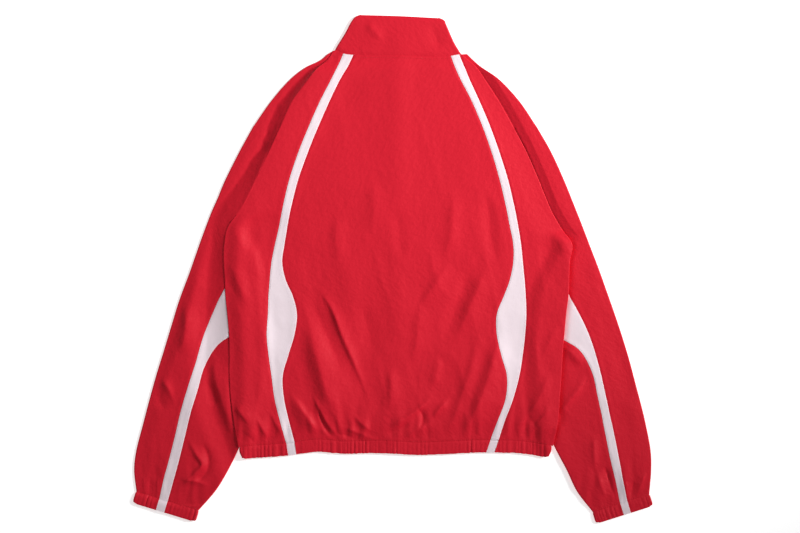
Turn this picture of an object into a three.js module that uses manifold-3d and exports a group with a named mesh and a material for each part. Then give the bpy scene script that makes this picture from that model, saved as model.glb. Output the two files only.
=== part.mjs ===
import * as THREE from 'three';
import { mergeVertices } from 'three/addons/utils/BufferGeometryUtils.js';
import Module from 'manifold-3d';

// A track jacket laid flat, front down.
// Millimetres: X runs to the right, Y from hem to collar, Z up from the floor.

// Cloth and the gaps between its layers
const CLOTH = 1.2;
const CASING = 2.4;
const COLLAR = 1.8;
const ZIP_TAPE = 1;
const SEAM_GAP = 0.3;
const LAYER_GAP = 1.5;
const SLEEVE_GAP = 1;
const STACK_GAP = 0.7;
const COLLAR_GAP = 1.2;
const CASING_GAP = 0.5;
const HEM_HEIGHT = 20;
const COLLAR_EASE = 1.2;
const FOLD_GAP = 0.7;
const COLLAR_FOLD_GAP = 1;
const CASING_FOLD_GAP = 1;
const CUFF_HEIGHT = 20;

// Mid heights of the layers, worked out from the walls and gaps
const FLOOR_LAYER = CLOTH / 2;
const SLEEVE_TOP = FLOOR_LAYER + CLOTH + SLEEVE_GAP;
const BODY_OVER_SLEEVE = SLEEVE_TOP + CLOTH + STACK_GAP - FLOOR_LAYER;

// Places along the body
const NECK_SEAM = 364;
const HEM_SEAM = -296;
const SHOULDER_SEAM_LEVEL = 4;
const ARMPIT_REACH = 28;
const UNDERARM_RAMP = 38;

// Form of the folded edges and of the loft
const EDGE_REACH = 1.6;
const CASING_REACH = 2.2;
const HEM_CORNER = 3;
const ARC_STEPS = 2;
const LIP_RISE = 1.8;
const LIP_REACH = 60;
const SHOULDER_RISE = 1.6;
const SLEEVE_LOFT = 2.2;
const CHAIN_LIFT = 1.3;
const COLLAR_LIFT = 0.8;

// Gathers of the elastic bands
const HEM_GATHERS = 46;
const CUFF_GATHERS = 9;
const COLUMNS_A_GATHER = 3;
const HEM_WAVE = 0.6;
const CUFF_WAVE = 0.6;

// Columns of each piece's net. The rows of the body's net are its table's levels.
const COLUMNS = { backCentre: 12, tape: 2, front: 3, sleeveTop: 5, sleeveLow: 3, insert: 3, under: 3 };
// Distances of the side panels' columns from the fold line, the same in front and back
const FLANK = [80, 60, 40, 20];
const BACK_FLANK = [58, 38, 19];
const COLLAR_COLUMNS = { back: 10, front: 5 };
const ZIP_ROWS = 8;
// Levels of a sleeve's rows: the wedge of the white insert takes a closer spacing
const SLEEVE_ROWS = [0, 1, 2, 3, 4, 4.35, 5, 5.6, 6, 6.5, 7, 7.5, 8, 8.5, 9, 10, 11, 12, 13, 14, 15, 16];
const UNDER_START = 4.35;
const INSERT_START = 5.6;

// The front neckline and the zip under it
const NECK_SCOOP = 52;
const ZIP_TOP_X = 11;
const ZIP_FOOT_X = 4;
const ZIP_SLOT = 10;
const ZIP_BELOW_EDGE = 6;
const CHAIN_WIDTH = 4.4;
const CHAIN_THICKNESS = 1.4;
const TAPE_WIDTH = 9;
const SLIDER = { width: 8, length: 11, low: 2.05, high: 4 };
const PULL = { length: 24, width: 5, neckWidth: 3.6, thickness: 0.9, eye: 0.85, hole: 0.52 };
const PIN = { radius: 0.4, ahead: 1.5 };
const PULL_AXIS_Z = 1.1;
const LUG = { width: 1.1, length: 2.6, low: 0.4, sunk: 0.1 };

const RED = new THREE.MeshStandardMaterial({ color: 0xc8202f, roughness: 0.62, metalness: 0 });
const WHITE = new THREE.MeshStandardMaterial({ color: 0xece2e6, roughness: 0.7, metalness: 0 });
const TAPE_RED = new THREE.MeshStandardMaterial({ color: 0xa81826, roughness: 0.8, metalness: 0 });
const METAL = new THREE.MeshStandardMaterial({ color: 0xb01c2a, roughness: 0.4, metalness: 0.6 });

// Seam lines of the body: where each one crosses each level, from the neck seam down to the hem band.
// The fold is the edge of the back over the sleeves, and below the armpit it is the body's own side.
// The edge is the shoulder's outline.
const BODY_LEVELS = [
  { y: 364, edgeL: -112, foldL: -102, outL: -84, inL: -67, inR: 99, outR: 113, foldR: 117, edgeR: 126 },
  { y: 345, edgeL: -148, foldL: -125, outL: -94, inL: -77, inR: 106, outR: 122, foldR: 142, edgeR: 151 },
  { y: 323, edgeL: -176, foldL: -144, outL: -105, inL: -90, inR: 116, outR: 131, foldR: 157, edgeR: 182 },
  { y: 286, edgeL: -208, foldL: -171, outL: -124, inL: -108, inR: 135, outR: 148, foldR: 181, edgeR: 216 },
  { y: 243, edgeL: -238, foldL: -191, outL: -143, inL: -127, inR: 153, outR: 166, foldR: 205, edgeR: 245 },
  { y: 201, foldL: -210, outL: -160, inL: -144, inR: 168, outR: 181, foldR: 227 },
  { y: 153, foldL: -232, outL: -176, inL: -161, inR: 182, outR: 196, foldR: 248 },
  { y: 106, foldL: -256, outL: -187, inL: -173, inR: 193, outR: 207, foldR: 267 },
  { y: 75, foldL: -279, outL: -193, inL: -179, inR: 199, outR: 213, foldR: 284 },
  { y: 44, foldL: -286, outL: -200, inL: -184, inR: 205, outR: 218, foldR: 304 },
  { y: 14, foldL: -287, outL: -206, inL: -188, inR: 205, outR: 221, foldR: 300 },
  { y: -17, foldL: -285, outL: -209, inL: -182, inR: 199, outR: 224, foldR: 299 },
  { y: -44, foldL: -284, outL: -211, inL: -170, inR: 189, outR: 226, foldR: 298 },
  { y: -75, foldL: -281, outL: -212, inL: -163, inR: 177, outR: 227, foldR: 294 },
  { y: -109, foldL: -278, outL: -214, inL: -167, inR: 177, outR: 225, foldR: 291 },
  { y: -143, foldL: -277, outL: -211, inL: -177, inR: 184, outR: 221, foldR: 288 },
  { y: -180, foldL: -277, outL: -206, inL: -187, inR: 194, outR: 215, foldR: 286 },
  { y: -217, foldL: -275, outL: -201, inL: -185, inR: 192, outR: 205, foldR: 283 },
  { y: -255, foldL: -270, outL: -192, inL: -177, inR: 180, outR: 192, foldR: 280 },
  { y: -296, foldL: -263, outL: -181, inL: -167, inR: 166, outR: 180, foldR: 272 },
];

// Each sleeve from the shoulder seam to the cuff. A level starts at y on the outer fold and falls by drop to
// the inner edge: the armhole seam as far as the armpit, then the underarm fold that lies beneath the body.
const SLEEVE_LEVELS = {
  left: [
    { y: 243, drop: 0, outer: -238, whiteOut: -191, whiteIn: -191, inner: -191 },
    { y: 201, drop: 4, outer: -261, whiteOut: -212, whiteIn: -212, inner: -212 },
    { y: 153, drop: 10, outer: -285, whiteOut: -237, whiteIn: -237, inner: -237 },
    { y: 122, drop: 16, outer: -298, whiteOut: -256, whiteIn: -256, inner: -256 },
    { y: 97, drop: 22, outer: -309, whiteOut: -279, whiteIn: -279, inner: -279 },
    { y: 60, drop: 32, outer: -323, whiteOut: -262, whiteIn: -262, inner: -262 },
    { y: 26, drop: 42, outer: -335, whiteOut: -266, whiteIn: -249, inner: -249 },
    { y: -8, drop: 49, outer: -347, whiteOut: -288, whiteIn: -242, inner: -242 },
    { y: -51, drop: 56, outer: -363, whiteOut: -307, whiteIn: -257, inner: -236 },
    { y: -93, drop: 60, outer: -376, whiteOut: -323, whiteIn: -297, inner: -236 },
    { y: -136, drop: 61, outer: -389, whiteOut: -335, whiteIn: -320, inner: -238 },
    { y: -178, drop: 60, outer: -402, whiteOut: -348, whiteIn: -332, inner: -244 },
    { y: -221, drop: 54, outer: -414, whiteOut: -360, whiteIn: -344, inner: -253 },
    { y: -263, drop: 42, outer: -425, whiteOut: -369, whiteIn: -353, inner: -263 },
    { y: -306, drop: 41, outer: -436, whiteOut: -380, whiteIn: -364, inner: -284 },
    { y: -340, drop: 37, outer: -440, whiteOut: -389, whiteIn: -373, inner: -303 },
    { y: -377, drop: 32, outer: -436, whiteOut: -397, whiteIn: -383, inner: -331 },
  ],
  right: [
    { y: 243, drop: 0, outer: 245, whiteOut: 205, whiteIn: 205, inner: 205 },
    { y: 201, drop: 4, outer: 269, whiteOut: 229, whiteIn: 229, inner: 229 },
    { y: 153, drop: 10, outer: 291, whiteOut: 252, whiteIn: 252, inner: 252 },
    { y: 106, drop: 16, outer: 310, whiteOut: 276, whiteIn: 276, inner: 276 },
    { y: 68, drop: 23, outer: 325, whiteOut: 304, whiteIn: 304, inner: 304 },
    { y: 34, drop: 32, outer: 338, whiteOut: 284, whiteIn: 284, inner: 284 },
    { y: 0, drop: 44, outer: 351, whiteOut: 294, whiteIn: 266, inner: 266 },
    { y: -34, drop: 48, outer: 363, whiteOut: 309, whiteIn: 262, inner: 262 },
    { y: -71, drop: 51, outer: 376, whiteOut: 326, whiteIn: 281, inner: 257 },
    { y: -110, drop: 49, outer: 389, whiteOut: 340, whiteIn: 318, inner: 258 },
    { y: -153, drop: 48, outer: 402, whiteOut: 352, whiteIn: 339, inner: 260 },
    { y: -195, drop: 42, outer: 413, whiteOut: 361, whiteIn: 348, inner: 263 },
    { y: -229, drop: 39, outer: 422, whiteOut: 368, whiteIn: 355, inner: 267 },
    { y: -263, drop: 32, outer: 430, whiteOut: 375, whiteIn: 361, inner: 273 },
    { y: -306, drop: 34, outer: 438, whiteOut: 384, whiteIn: 370, inner: 296 },
    { y: -343, drop: 34, outer: 439, whiteOut: 391, whiteIn: 379, inner: 314 },
    { y: -382, drop: 30, outer: 436, whiteOut: 399, whiteIn: 387, inner: 341 },
  ],
};

// What differs between the two sides
const SIDES = {
  left: { name: 'left', key: 'L', sign: -1, armpit: 75, armpitLevel: 4 },
  right: { name: 'right', key: 'R', sign: 1, armpit: 44, armpitLevel: 4 },
};

// The neck seam, the lower edge of the hem band and the collar's sides
const NECK_LINE = [
  { x: -112, y: 366 },
  { x: -98, y: 373 },
  { x: -82, y: 367 },
  { x: -60, y: 365 },
  { x: 10, y: 364 },
  { x: 95, y: 363 },
  { x: 112, y: 366 },
  { x: 126, y: 367 },
];
const HEM_LINE = [
  { x: -256, y: -321 },
  { x: -177, y: -315 },
  { x: -127, y: -309 },
  { x: -86, y: -312 },
  { x: -23, y: -311 },
  { x: 46, y: -314 },
  { x: 160, y: -310 },
  { x: 220, y: -312 },
  { x: 262, y: -318 },
];
const COLLAR_LEVELS = [
  { rise: 0, left: -98, right: 116 },
  { rise: 0.17, left: -93, right: 110 },
  { rise: 0.35, left: -87, right: 104 },
  { rise: 0.6, left: -78, right: 97 },
  { rise: 0.85, left: -69, right: 90 },
  { rise: 0.96, left: -62, right: 86 },
  { rise: 1, left: -55, right: 79 },
];
const COLLAR_EDGE = [
  { x: -62, y: 434 },
  { x: 10, y: 432 },
  { x: 86, y: 428 },
];

// The largest folds of the upper layer, each a straight run: a height below zero is a trough
const FOLDS = [
  { x: -152, y: -120, toX: -108, toY: -285, width: 15, height: -1.7 },
  { x: -134, y: -150, toX: -92, toY: -262, width: 12, height: 2 },
  { x: -128, y: -25, toX: -40, toY: -235, width: 11, height: 1.7 },
  { x: 168, y: -112, toX: 120, toY: -275, width: 14, height: -1.6 },
  { x: 150, y: -120, toX: 108, toY: -250, width: 12, height: 1.8 },
  { x: 158, y: 5, toX: 112, toY: -118, width: 11, height: 1.4 },
  { x: 175, y: 130, toX: 182, toY: 20, width: 12, height: -1 },
  { x: -265, y: -5, toX: -240, toY: -62, width: 9, height: 1.5 },
  { x: 283, y: -95, toX: 250, toY: -150, width: 9, height: 1.5 },
  { x: -262, y: -235, toX: -238, toY: -262, width: 9, height: 1.5 },
  { x: 262, y: -180, toX: 236, toY: -250, width: 9, height: 1.7 },
  { x: -395, y: -185, toX: -368, toY: -240, width: 9, height: 1.8 },
  { x: -345, y: -290, toX: -325, toY: -345, width: 10, height: -1.3 },
  { x: 336, y: -180, toX: 292, toY: -250, width: 10, height: 1.5 },
  { x: 342, y: -285, toX: 344, toY: -350, width: 9, height: -1.3 },
  { x: 420, y: -345, toX: 405, toY: -385, width: 8, height: 1.5 },
];

function smooth(from, to, at) {
  const t = THREE.MathUtils.clamp((at - from) / (to - from), 0, 1);
  return t * t * (3 - 2 * t);
}

// A smooth curve through one column of a table, read at any place along another column.
function follow(rows, place, key) {
  const known = rows.filter((row) => row[key] !== undefined);
  const last = known.length - 1;
  const rising = known[last][place] > known[0][place];
  const slope = (i) => (known[i + 1][key] - known[i][key]) / (known[i + 1][place] - known[i][place]);
  const lean = (i) => (slope(Math.max(i - 1, 0)) + slope(Math.min(i, last - 1))) / 2;
  return (at) => {
    let i = 0;
    while (i < last - 1 && (rising ? at > known[i + 1][place] : at < known[i + 1][place])) {
      i += 1;
    }
    const from = known[i];
    const to = known[i + 1];
    const length = to[place] - from[place];
    const t = (at - from[place]) / length;
    if (t <= 0) {
      return from[key] + lean(i) * (at - from[place]);
    }
    if (t >= 1) {
      return to[key] + lean(i + 1) * (at - to[place]);
    }
    const ease = t * t * (3 - 2 * t);
    const leaving = t * (1 - t) * (1 - t) * length * lean(i);
    const arriving = t * t * (t - 1) * length * lean(i + 1);
    return from[key] * (1 - ease) + to[key] * ease + leaving + arriving;
  };
}

// The same for every column of a table of levels, read at any level, whole or between two rows.
function followLevels(levels) {
  const numbered = levels.map((row, level) => ({ ...row, level }));
  const curves = Object.keys(levels[0]).map((key) => [key, follow(numbered, 'level', key)]);
  return (level) => Object.fromEntries(curves.map(([key, curve]) => [key, curve(level)]));
}

const bodyAt = followLevels(BODY_LEVELS);
const collarSides = {
  left: follow(COLLAR_LEVELS, 'rise', 'left'),
  right: follow(COLLAR_LEVELS, 'rise', 'right'),
};
const neckLine = follow(NECK_LINE, 'x', 'y');
const hemLine = follow(HEM_LINE, 'x', 'y');
const collarEdge = follow(COLLAR_EDGE, 'x', 'y');
for (const side of Object.values(SIDES)) {
  const levels = SLEEVE_LEVELS[side.name];
  const innerEnds = levels.map((row) => ({ y: row.y - row.drop, x: row.inner }));
  side.sleeveAt = followLevels(levels);
  side.sleeveEnd = levels.length - 1;
  side.underarm = follow(innerEnds, 'y', 'x');
  side.outer = follow(levels, 'y', 'outer');
  side.fold = follow(BODY_LEVELS, 'y', 'fold' + side.key);
}

// Height of the largest folds at a place on the upper layer
function folds(x, y) {
  let height = 0;
  for (const fold of FOLDS) {
    const runX = fold.toX - fold.x;
    const runY = fold.toY - fold.y;
    const length = Math.hypot(runX, runY);
    const along = ((x - fold.x) * runX + (y - fold.y) * runY) / (length * length);
    const aside = ((x - fold.x) * runY - (y - fold.y) * runX) / length;
    const ends = smooth(-0.15, 0.25, along) * (1 - smooth(0.75, 1.15, along));
    height += fold.height * ends * Math.exp(-((aside / fold.width) ** 2));
  }
  return height;
}

const zipX = (y) => THREE.MathUtils.mapLinear(y, NECK_SEAM, HEM_SEAM, ZIP_TOP_X, ZIP_FOOT_X);

const noDip = () => 0;

// How far the front neckline and collar hang below the back's at a place across them
function scoop(x) {
  const across = (x - ZIP_TOP_X) / 100;
  return NECK_SCOOP * Math.max(0, 1 - across * across);
}

// 1 below the armpit, where the body's side lies on the sleeve, and 0 above it
const belowArmpit = (side, y) => 1 - smooth(side.armpit + 2, side.armpit + ARMPIT_REACH, y);

// How much of the sleeve's thickness the body has to climb at a place
function climb(x, y) {
  let most = 0;
  for (const side of Object.values(SIDES)) {
    const inward = side.sign * (side.underarm(y) - x);
    most = Math.max(most, (1 - smooth(10, UNDERARM_RAMP, inward)) * belowArmpit(side, y));
  }
  return most;
}

const bodyFrontZ = (x, y) => FLOOR_LAYER + BODY_OVER_SLEEVE * climb(x, y);

// The back rises to a full edge beside the armhole seam and dips just outside it on the shoulder.
function armholeLip(x, y) {
  let height = 0;
  for (const side of Object.values(SIDES)) {
    const inward = side.sign * (side.fold(y) - x);
    const span = (1 - smooth(300, 360, y)) * (1 - belowArmpit(side, y));
    const onBack = LIP_RISE * (1 - smooth(0, LIP_REACH, inward));
    const onShoulder = SHOULDER_RISE * smooth(0, 20, -inward) * (1 - smooth(10, 60, -inward) / 3);
    height += (inward >= 0 ? onBack : onShoulder) * span;
  }
  return height;
}

// The zip and the front collar lie under the back's middle and lift it a little.
function overZip(x, y) {
  const aside = x - zipX(y);
  const onChain = CHAIN_LIFT * Math.exp(-((aside / 24) ** 2));
  const onCollar = COLLAR_LIFT * smooth(270, 320, y) * Math.exp(-((aside / 90) ** 4));
  return onChain + onCollar;
}

const nearHem = (y) => 1 - smooth(HEM_SEAM, HEM_SEAM + 30, y);

function bodyBackZ(x, y) {
  const front = bodyFrontZ(x, y);
  const loose = armholeLip(x, y) + folds(x, y) * (1 - nearHem(y)) + nearHem(y);
  return front + CLOTH + Math.max(LAYER_GAP + overZip(x, y) + loose, SEAM_GAP + overZip(x, y));
}

const cuffEase = (y) => 0.4 + 0.6 * smooth(-385, -330, y);

// The sleeve's upper layer: full in the middle of what shows, low beside the body and at the outer fold.
function sleeveTopZ(side, x, y) {
  const body = side.sign * (x - side.fold(y));
  const outside = side.sign * (side.outer(y) - x);
  const full = smooth(0, 34, body) * smooth(-2, 26, outside) * cuffEase(y);
  const loose = (SLEEVE_LOFT + folds(x, y)) * full;
  return SLEEVE_TOP + Math.max(loose, SEAM_GAP - SLEEVE_GAP);
}

// Where the edge of the back ends: in the armhole seam beside the sleeve, at the side seam below the armpit
function backEdgeZ(side, x, y) {
  const sideSeam = bodyFrontZ(x, y) + (CLOTH + LAYER_GAP + FOLD_GAP) / 2;
  return mix(SLEEVE_TOP, sideSeam, belowArmpit(side, y));
}

function frontEdgeZ(side, x, y) {
  const sideSeam = bodyFrontZ(x, y) + (CLOTH + LAYER_GAP - FOLD_GAP) / 2;
  return mix(FLOOR_LAYER, sideSeam, belowArmpit(side, y));
}

// The two layers of the body: heights, the dip of the neckline, the ease at the hem and how the edges end
const BACK = {
  height: bodyBackZ,
  dip: noDip,
  hemEase: 0.8,
  edgeZ: backEdgeZ,
  shoulderZ: FLOOR_LAYER + (CLOTH + LAYER_GAP + FOLD_GAP) / 2,
};
const FRONT = {
  height: bodyFrontZ,
  dip: scoop,
  hemEase: 2,
  edgeZ: frontEdgeZ,
  shoulderZ: FLOOR_LAYER + (CLOTH + LAYER_GAP - FOLD_GAP) / 2,
};

// A point of the body's net, with the neck seam and hem seam as its ends
function bodyPoint(level, x, layer) {
  const last = BODY_LEVELS.length - 1;
  const { y } = bodyAt(level);
  const neck = neckLine(x) - SEAM_GAP / 2 - NECK_SEAM;
  const hem = hemLine(x) + HEM_HEIGHT + layer.hemEase - HEM_SEAM;
  const shoulderSeam = BODY_LEVELS[SHOULDER_SEAM_LEVEL].y;
  const lowered = layer.dip(x) * Math.max(0, y - shoulderSeam) / (NECK_SEAM - shoulderSeam);
  const place = y + neck * Math.max(0, 1 - level) ** 2 + hem * smooth(last - 2, last, level) - lowered;
  return new THREE.Vector3(x, place, layer.height(x, place));
}

// The rounded edge of a layer: from its last full point down, or up, to where it meets the other layer
function edgeArc(start, end, endZ) {
  const points = [];
  for (let step = 1; step <= ARC_STEPS; step += 1) {
    const angle = (step / ARC_STEPS) * (Math.PI / 2);
    const point = start.clone().lerp(end, Math.sin(angle));
    point.z = start.z + (endZ - start.z) * (1 - Math.cos(angle));
    points.push(point);
  }
  return points;
}

const spread = (count) => Array.from({ length: count + 1 }, (_, i) => i / count);
const mix = (a, b, t) => a + (b - a) * t;
const levelsBetween = (from, to, rows) => spread(rows).map((t) => mix(from, to, t));

// A wall of even thickness about nets of points that share their edges: two faces and the rim round them
function clothWall(nets, thickness) {
  const points = [];
  const numbers = new Map();
  const number = (point) => {
    const key = point.toArray().map((n) => n.toFixed(3)).join();
    if (!numbers.has(key)) {
      numbers.set(key, points.length);
      points.push(point);
    }
    return numbers.get(key);
  };
  const faces = [];
  for (const net of nets) {
    const ids = net.map((row) => row.map(number));
    for (let r = 0; r + 1 < ids.length; r += 1) {
      for (let c = 0; c + 1 < ids[r].length; c += 1) {
        faces.push([ids[r][c], ids[r + 1][c], ids[r + 1][c + 1]]);
        faces.push([ids[r][c], ids[r + 1][c + 1], ids[r][c + 1]]);
      }
    }
  }
  const solid = faces.filter(([a, b, c]) => a !== b && b !== c && a !== c);
  const normals = points.map(() => new THREE.Vector3());
  for (const face of solid) {
    const [a, b, c] = face.map((id) => points[id]);
    const normal = b.clone().sub(a).cross(c.clone().sub(a)).normalize();
    face.forEach((id) => normals[id].add(normal));
  }
  normals.forEach((normal) => normal.normalize());
  const upper = points.map((p, i) => p.clone().addScaledVector(normals[i], thickness / 2));
  const lower = points.map((p, i) => p.clone().addScaledVector(normals[i], -thickness / 2));
  const count = points.length;
  const index = [];
  const edges = new Set(solid.flatMap(([a, b, c]) => [`${a},${b}`, `${b},${c}`, `${c},${a}`]));
  for (const [a, b, c] of solid) {
    index.push(a, b, c, count + c, count + b, count + a);
    for (const [from, to] of [[a, b], [b, c], [c, a]]) {
      if (!edges.has(`${to},${from}`)) {
        index.push(count + from, count + to, to, count + from, to, from);
      }
    }
  }
  const geometry = new THREE.BufferGeometry();
  const all = [...upper, ...lower].flatMap((p) => p.toArray());
  geometry.setAttribute('position', new THREE.Float32BufferAttribute(all, 3));
  geometry.setIndex(index);
  geometry.computeVertexNormals();
  return geometry;
}

const jacket = new THREE.Group();

function addPiece(name, geometry, material) {
  const mesh = new THREE.Mesh(geometry, material);
  mesh.name = name;
  jacket.add(mesh);
}

// Nets run so that the outer face of the cloth is the one that their rows and columns turn round.
const mirrored = (net) => net.map((row) => [...row].reverse());

// Back centre panel, between the two white tapes
function backCentre() {
  const columns = spread(COLUMNS.backCentre);
  return BODY_LEVELS.map((_, level) => {
    const row = bodyAt(level);
    const left = row.inL + SEAM_GAP / 2;
    const right = row.inR - SEAM_GAP / 2;
    return columns.map((t) => bodyPoint(level, mix(left, right, t), BACK));
  });
}

// A white tape of the back, from the neck seam over the hem band to its edge
function backTape(side) {
  const last = BODY_LEVELS.length - 1;
  const columns = spread(COLUMNS.tape);
  const half = side.sign * SEAM_GAP / 2;
  const across = (row, t) => mix(row['out' + side.key] - half, row['in' + side.key] + half, t);
  const net = BODY_LEVELS.map((_, level) => {
    const row = bodyAt(level);
    return columns.map((t) => bodyPoint(level, across(row, t), BACK));
  });
  const foot = bodyAt(last);
  for (const down of [0.25, 1]) {
    net.push(columns.map((t) => {
      const x = across(foot, t);
      const y = hemLine(x) + HEM_HEIGHT * (1 - down);
      return new THREE.Vector3(x, y, hemBackZ(x, y));
    }));
  }
  return side.sign < 0 ? net : mirrored(net);
}

// The points past a panel's fold line: on the shoulder out to the outline, lower down round the panel's edge
function panelEdge(side, level, layer) {
  const row = bodyAt(level);
  const fold = row['fold' + side.key];
  const start = bodyPoint(level, fold - side.sign * EDGE_REACH, layer);
  const end = bodyPoint(level, fold, layer);
  return edgeArc(start, end, layer.edgeZ(side, fold, end.y));
}

function shoulderEdge(side, level, layer) {
  const row = bodyAt(level);
  const fold = row['fold' + side.key];
  const outline = row['edge' + side.key];
  const edge = outline - side.sign * EDGE_REACH;
  const first = fold - side.sign * EDGE_REACH;
  const flat = spread(ARC_STEPS).slice(1).map((t) => mix(first, fold, Math.sin(t * Math.PI / 2)));
  flat.push(...[0.3, 0.65, 1].map((t) => mix(fold, edge, t)));
  const points = flat.map((x) => bodyPoint(level, x, layer));
  const seam = level === SHOULDER_SEAM_LEVEL ? SEAM_GAP : 0;
  const end = bodyPoint(level, outline, layer);
  end.y += seam;
  points.forEach((point) => {
    point.y += seam;
  });
  return [...points, ...edgeArc(points[points.length - 1], end, layer.shoulderZ)];
}

// A panel from an inner seam line to the fold line, with the shoulder beyond it above the armhole seam
function sidePanel(side, inner, layer) {
  const main = (level) => {
    const row = bodyAt(level);
    const places = [...inner(row), row['fold' + side.key] - side.sign * EDGE_REACH];
    return places.map((x) => bodyPoint(level, x, layer));
  };
  const columns = main(0).length - 1;
  const levels = [...BODY_LEVELS.keys()];
  const upper = levels.slice(0, SHOULDER_SEAM_LEVEL + 1);
  const lower = levels.slice(SHOULDER_SEAM_LEVEL);
  const shoulder = upper.map((level) => [...main(level), ...shoulderEdge(side, level, layer)]);
  const flank = lower.map((level, i) => {
    const edge = panelEdge(side, level, layer);
    const shared = shoulder[shoulder.length - 1].slice(columns + 1, columns + 1 + ARC_STEPS);
    return [...main(level), ...(i === 0 ? shared : edge)];
  });
  return [shoulder, flank];
}

// Columns at set distances from the fold line, drawn together where the panel is narrow
function flankColumns(side, row, distances, inner) {
  const fold = row['fold' + side.key];
  const room = Math.abs(fold - inner) / (distances[0] + 20);
  return distances.map((distance) => fold - side.sign * distance * Math.min(1, room));
}

// A side panel of the back, from the white tape to the fold line
function backSide(side) {
  const inner = (row) => {
    const tape = row['out' + side.key] + side.sign * SEAM_GAP / 2;
    return [tape, ...flankColumns(side, row, BACK_FLANK, tape)];
  };
  const nets = sidePanel(side, inner, BACK);
  return side.sign < 0 ? nets.map(mirrored) : nets;
}

function frontColumns(side, row) {
  const slot = zipX(row.y) + side.sign * ZIP_SLOT / 2;
  const flank = flankColumns(side, row, FLANK, slot);
  return [...spread(COLUMNS.front).slice(0, -1).map((t) => mix(slot, flank[0], t)), ...flank];
}

// The front lies on the floor. Its neckline is scooped and its middle edge leaves a slot for the zip.
function frontPanel(side) {
  const nets = sidePanel(side, (row) => frontColumns(side, row), FRONT);
  return side.sign < 0 ? nets : nets.map(mirrored);
}

// Hem band: an elastic casing whose upper layer is gathered
const hemFrontZ = (x, y) => bodyFrontZ(x, y) + (CASING - CLOTH) / 2;
const hemBackZ = (x, y) => hemFrontZ(x, y) + CASING + CASING_GAP + overZip(x, y);

// Places of a gathered stretch's columns, and whether each is a crest, a hollow or between
function gatherColumns(fromX, toX, pitch) {
  const gathers = Math.max(2, Math.round(Math.abs(toX - fromX) / pitch));
  return spread(gathers * COLUMNS_A_GATHER).map((t, c) => ({
    x: mix(fromX, toX, t),
    wave: Math.sin(c * Math.PI * 2 / COLUMNS_A_GATHER),
  }));
}

// Fullness of the hem band's three rows, from its seam to its lower edge
const HEM_FULLNESS = [0.5, 1, 0.5];

// A stretch of the hem band, and the rounded end that turns over the body's side
function hemBand(columns, height, end = null) {
  return [SEAM_GAP / 2, HEM_HEIGHT * 0.45, HEM_HEIGHT].map((down, r) => {
    const at = (x) => new THREE.Vector3(x, hemLine(x) + HEM_HEIGHT - down, 0);
    const points = columns.map(({ x, wave }) => {
      const point = at(x);
      point.z = height(x, point.y) + HEM_WAVE * HEM_FULLNESS[r] * Math.max(wave, wave * 0.3);
      return point;
    });
    if (!end) {
      return points;
    }
    return [...points, ...edgeArc(points[points.length - 1], at(end.x), end.z(end.x, points[0].y))];
  });
}

function hemBands() {
  const foot = bodyAt(BODY_LEVELS.length - 1);
  const pitch = (foot.foldR - foot.foldL) / HEM_GATHERS;
  const half = SEAM_GAP / 2;
  const backEnd = (x, y) => hemFrontZ(x, y) + CASING / 2 + CASING_FOLD_GAP;
  const centre = hemBand(gatherColumns(foot.inL + half, foot.inR - half, pitch), hemBackZ);
  addPiece('hem_back_centre', clothWall([centre], CASING), RED);
  for (const side of Object.values(SIDES)) {
    const out = foot['out' + side.key] + side.sign * half;
    const end = foot['fold' + side.key] - side.sign * HEM_CORNER;
    const inside = end - side.sign * CASING_REACH;
    const slot = zipX(HEM_SEAM) + side.sign * ZIP_SLOT / 2;
    const plain = gatherColumns(slot, inside, 2 * pitch).map(({ x }) => ({ x, wave: 0 }));
    const back = hemBand(gatherColumns(out, inside, pitch), hemBackZ, { x: end, z: backEnd });
    const front = hemBand(plain, hemFrontZ, { x: end, z: hemFrontZ });
    const turned = side.sign < 0;
    addPiece(`hem_back_${side.name}`, clothWall([turned ? mirrored(back) : back], CASING), RED);
    addPiece(`hem_front_${side.name}`, clothWall([turned ? front : mirrored(front)], CASING), RED);
  }
}

// A sleeve's section at a level: named places round it from the white insert over the outer fold and back
function sleeveSection(side, level, lowZ = FLOOR_LAYER, topZ = null, stretch = 1) {
  const row = side.sleeveAt(level);
  const outerEnd = new THREE.Vector2(row.outer, row.y);
  const innerEnd = new THREE.Vector2(row.inner, row.y - row.drop);
  const middle = outerEnd.clone().lerp(innerEnd, 0.5);
  outerEnd.sub(middle).multiplyScalar(stretch).add(middle);
  innerEnd.sub(middle).multiplyScalar(stretch).add(middle);
  const width = outerEnd.distanceTo(innerEnd);
  const share = (x) => (x - outerEnd.x) / (innerEnd.x - outerEnd.x);
  const top = (t) => {
    const p = outerEnd.clone().lerp(innerEnd, t);
    return new THREE.Vector3(p.x, p.y, topZ === null ? sleeveTopZ(side, p.x, p.y) : topZ);
  };
  const low = (t) => {
    const p = outerEnd.clone().lerp(innerEnd, t);
    return new THREE.Vector3(p.x, p.y, lowZ);
  };
  const reach = EDGE_REACH / width;
  const turn = (t, inside, downwards) => {
    const start = downwards ? top(inside) : low(inside);
    const end = top(t);
    const middleZ = (top(inside).z + lowZ) / 2;
    return edgeArc(start, end, middleZ);
  };
  let bodySide = 1;
  for (let tries = 0; tries < 4; tries += 1) {
    bodySide = share(side.fold(row.y - row.drop * bodySide));
  }
  return { row, share, top, low, reach, turn, bodySide };
}

// Evenly spread places on top, one of them moved to where the body's side crosses the sleeve
function topPlaces(section, from, to, columns) {
  const places = spread(columns).map((t) => mix(from, to, t));
  const crossing = section.bodySide;
  if ((crossing - from) * (crossing - to) < 0) {
    const step = (to - from) / columns;
    const nearest = THREE.MathUtils.clamp(Math.round((crossing - from) / step), 1, columns - 1);
    places[nearest] = crossing;
  }
  return places;
}

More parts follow.
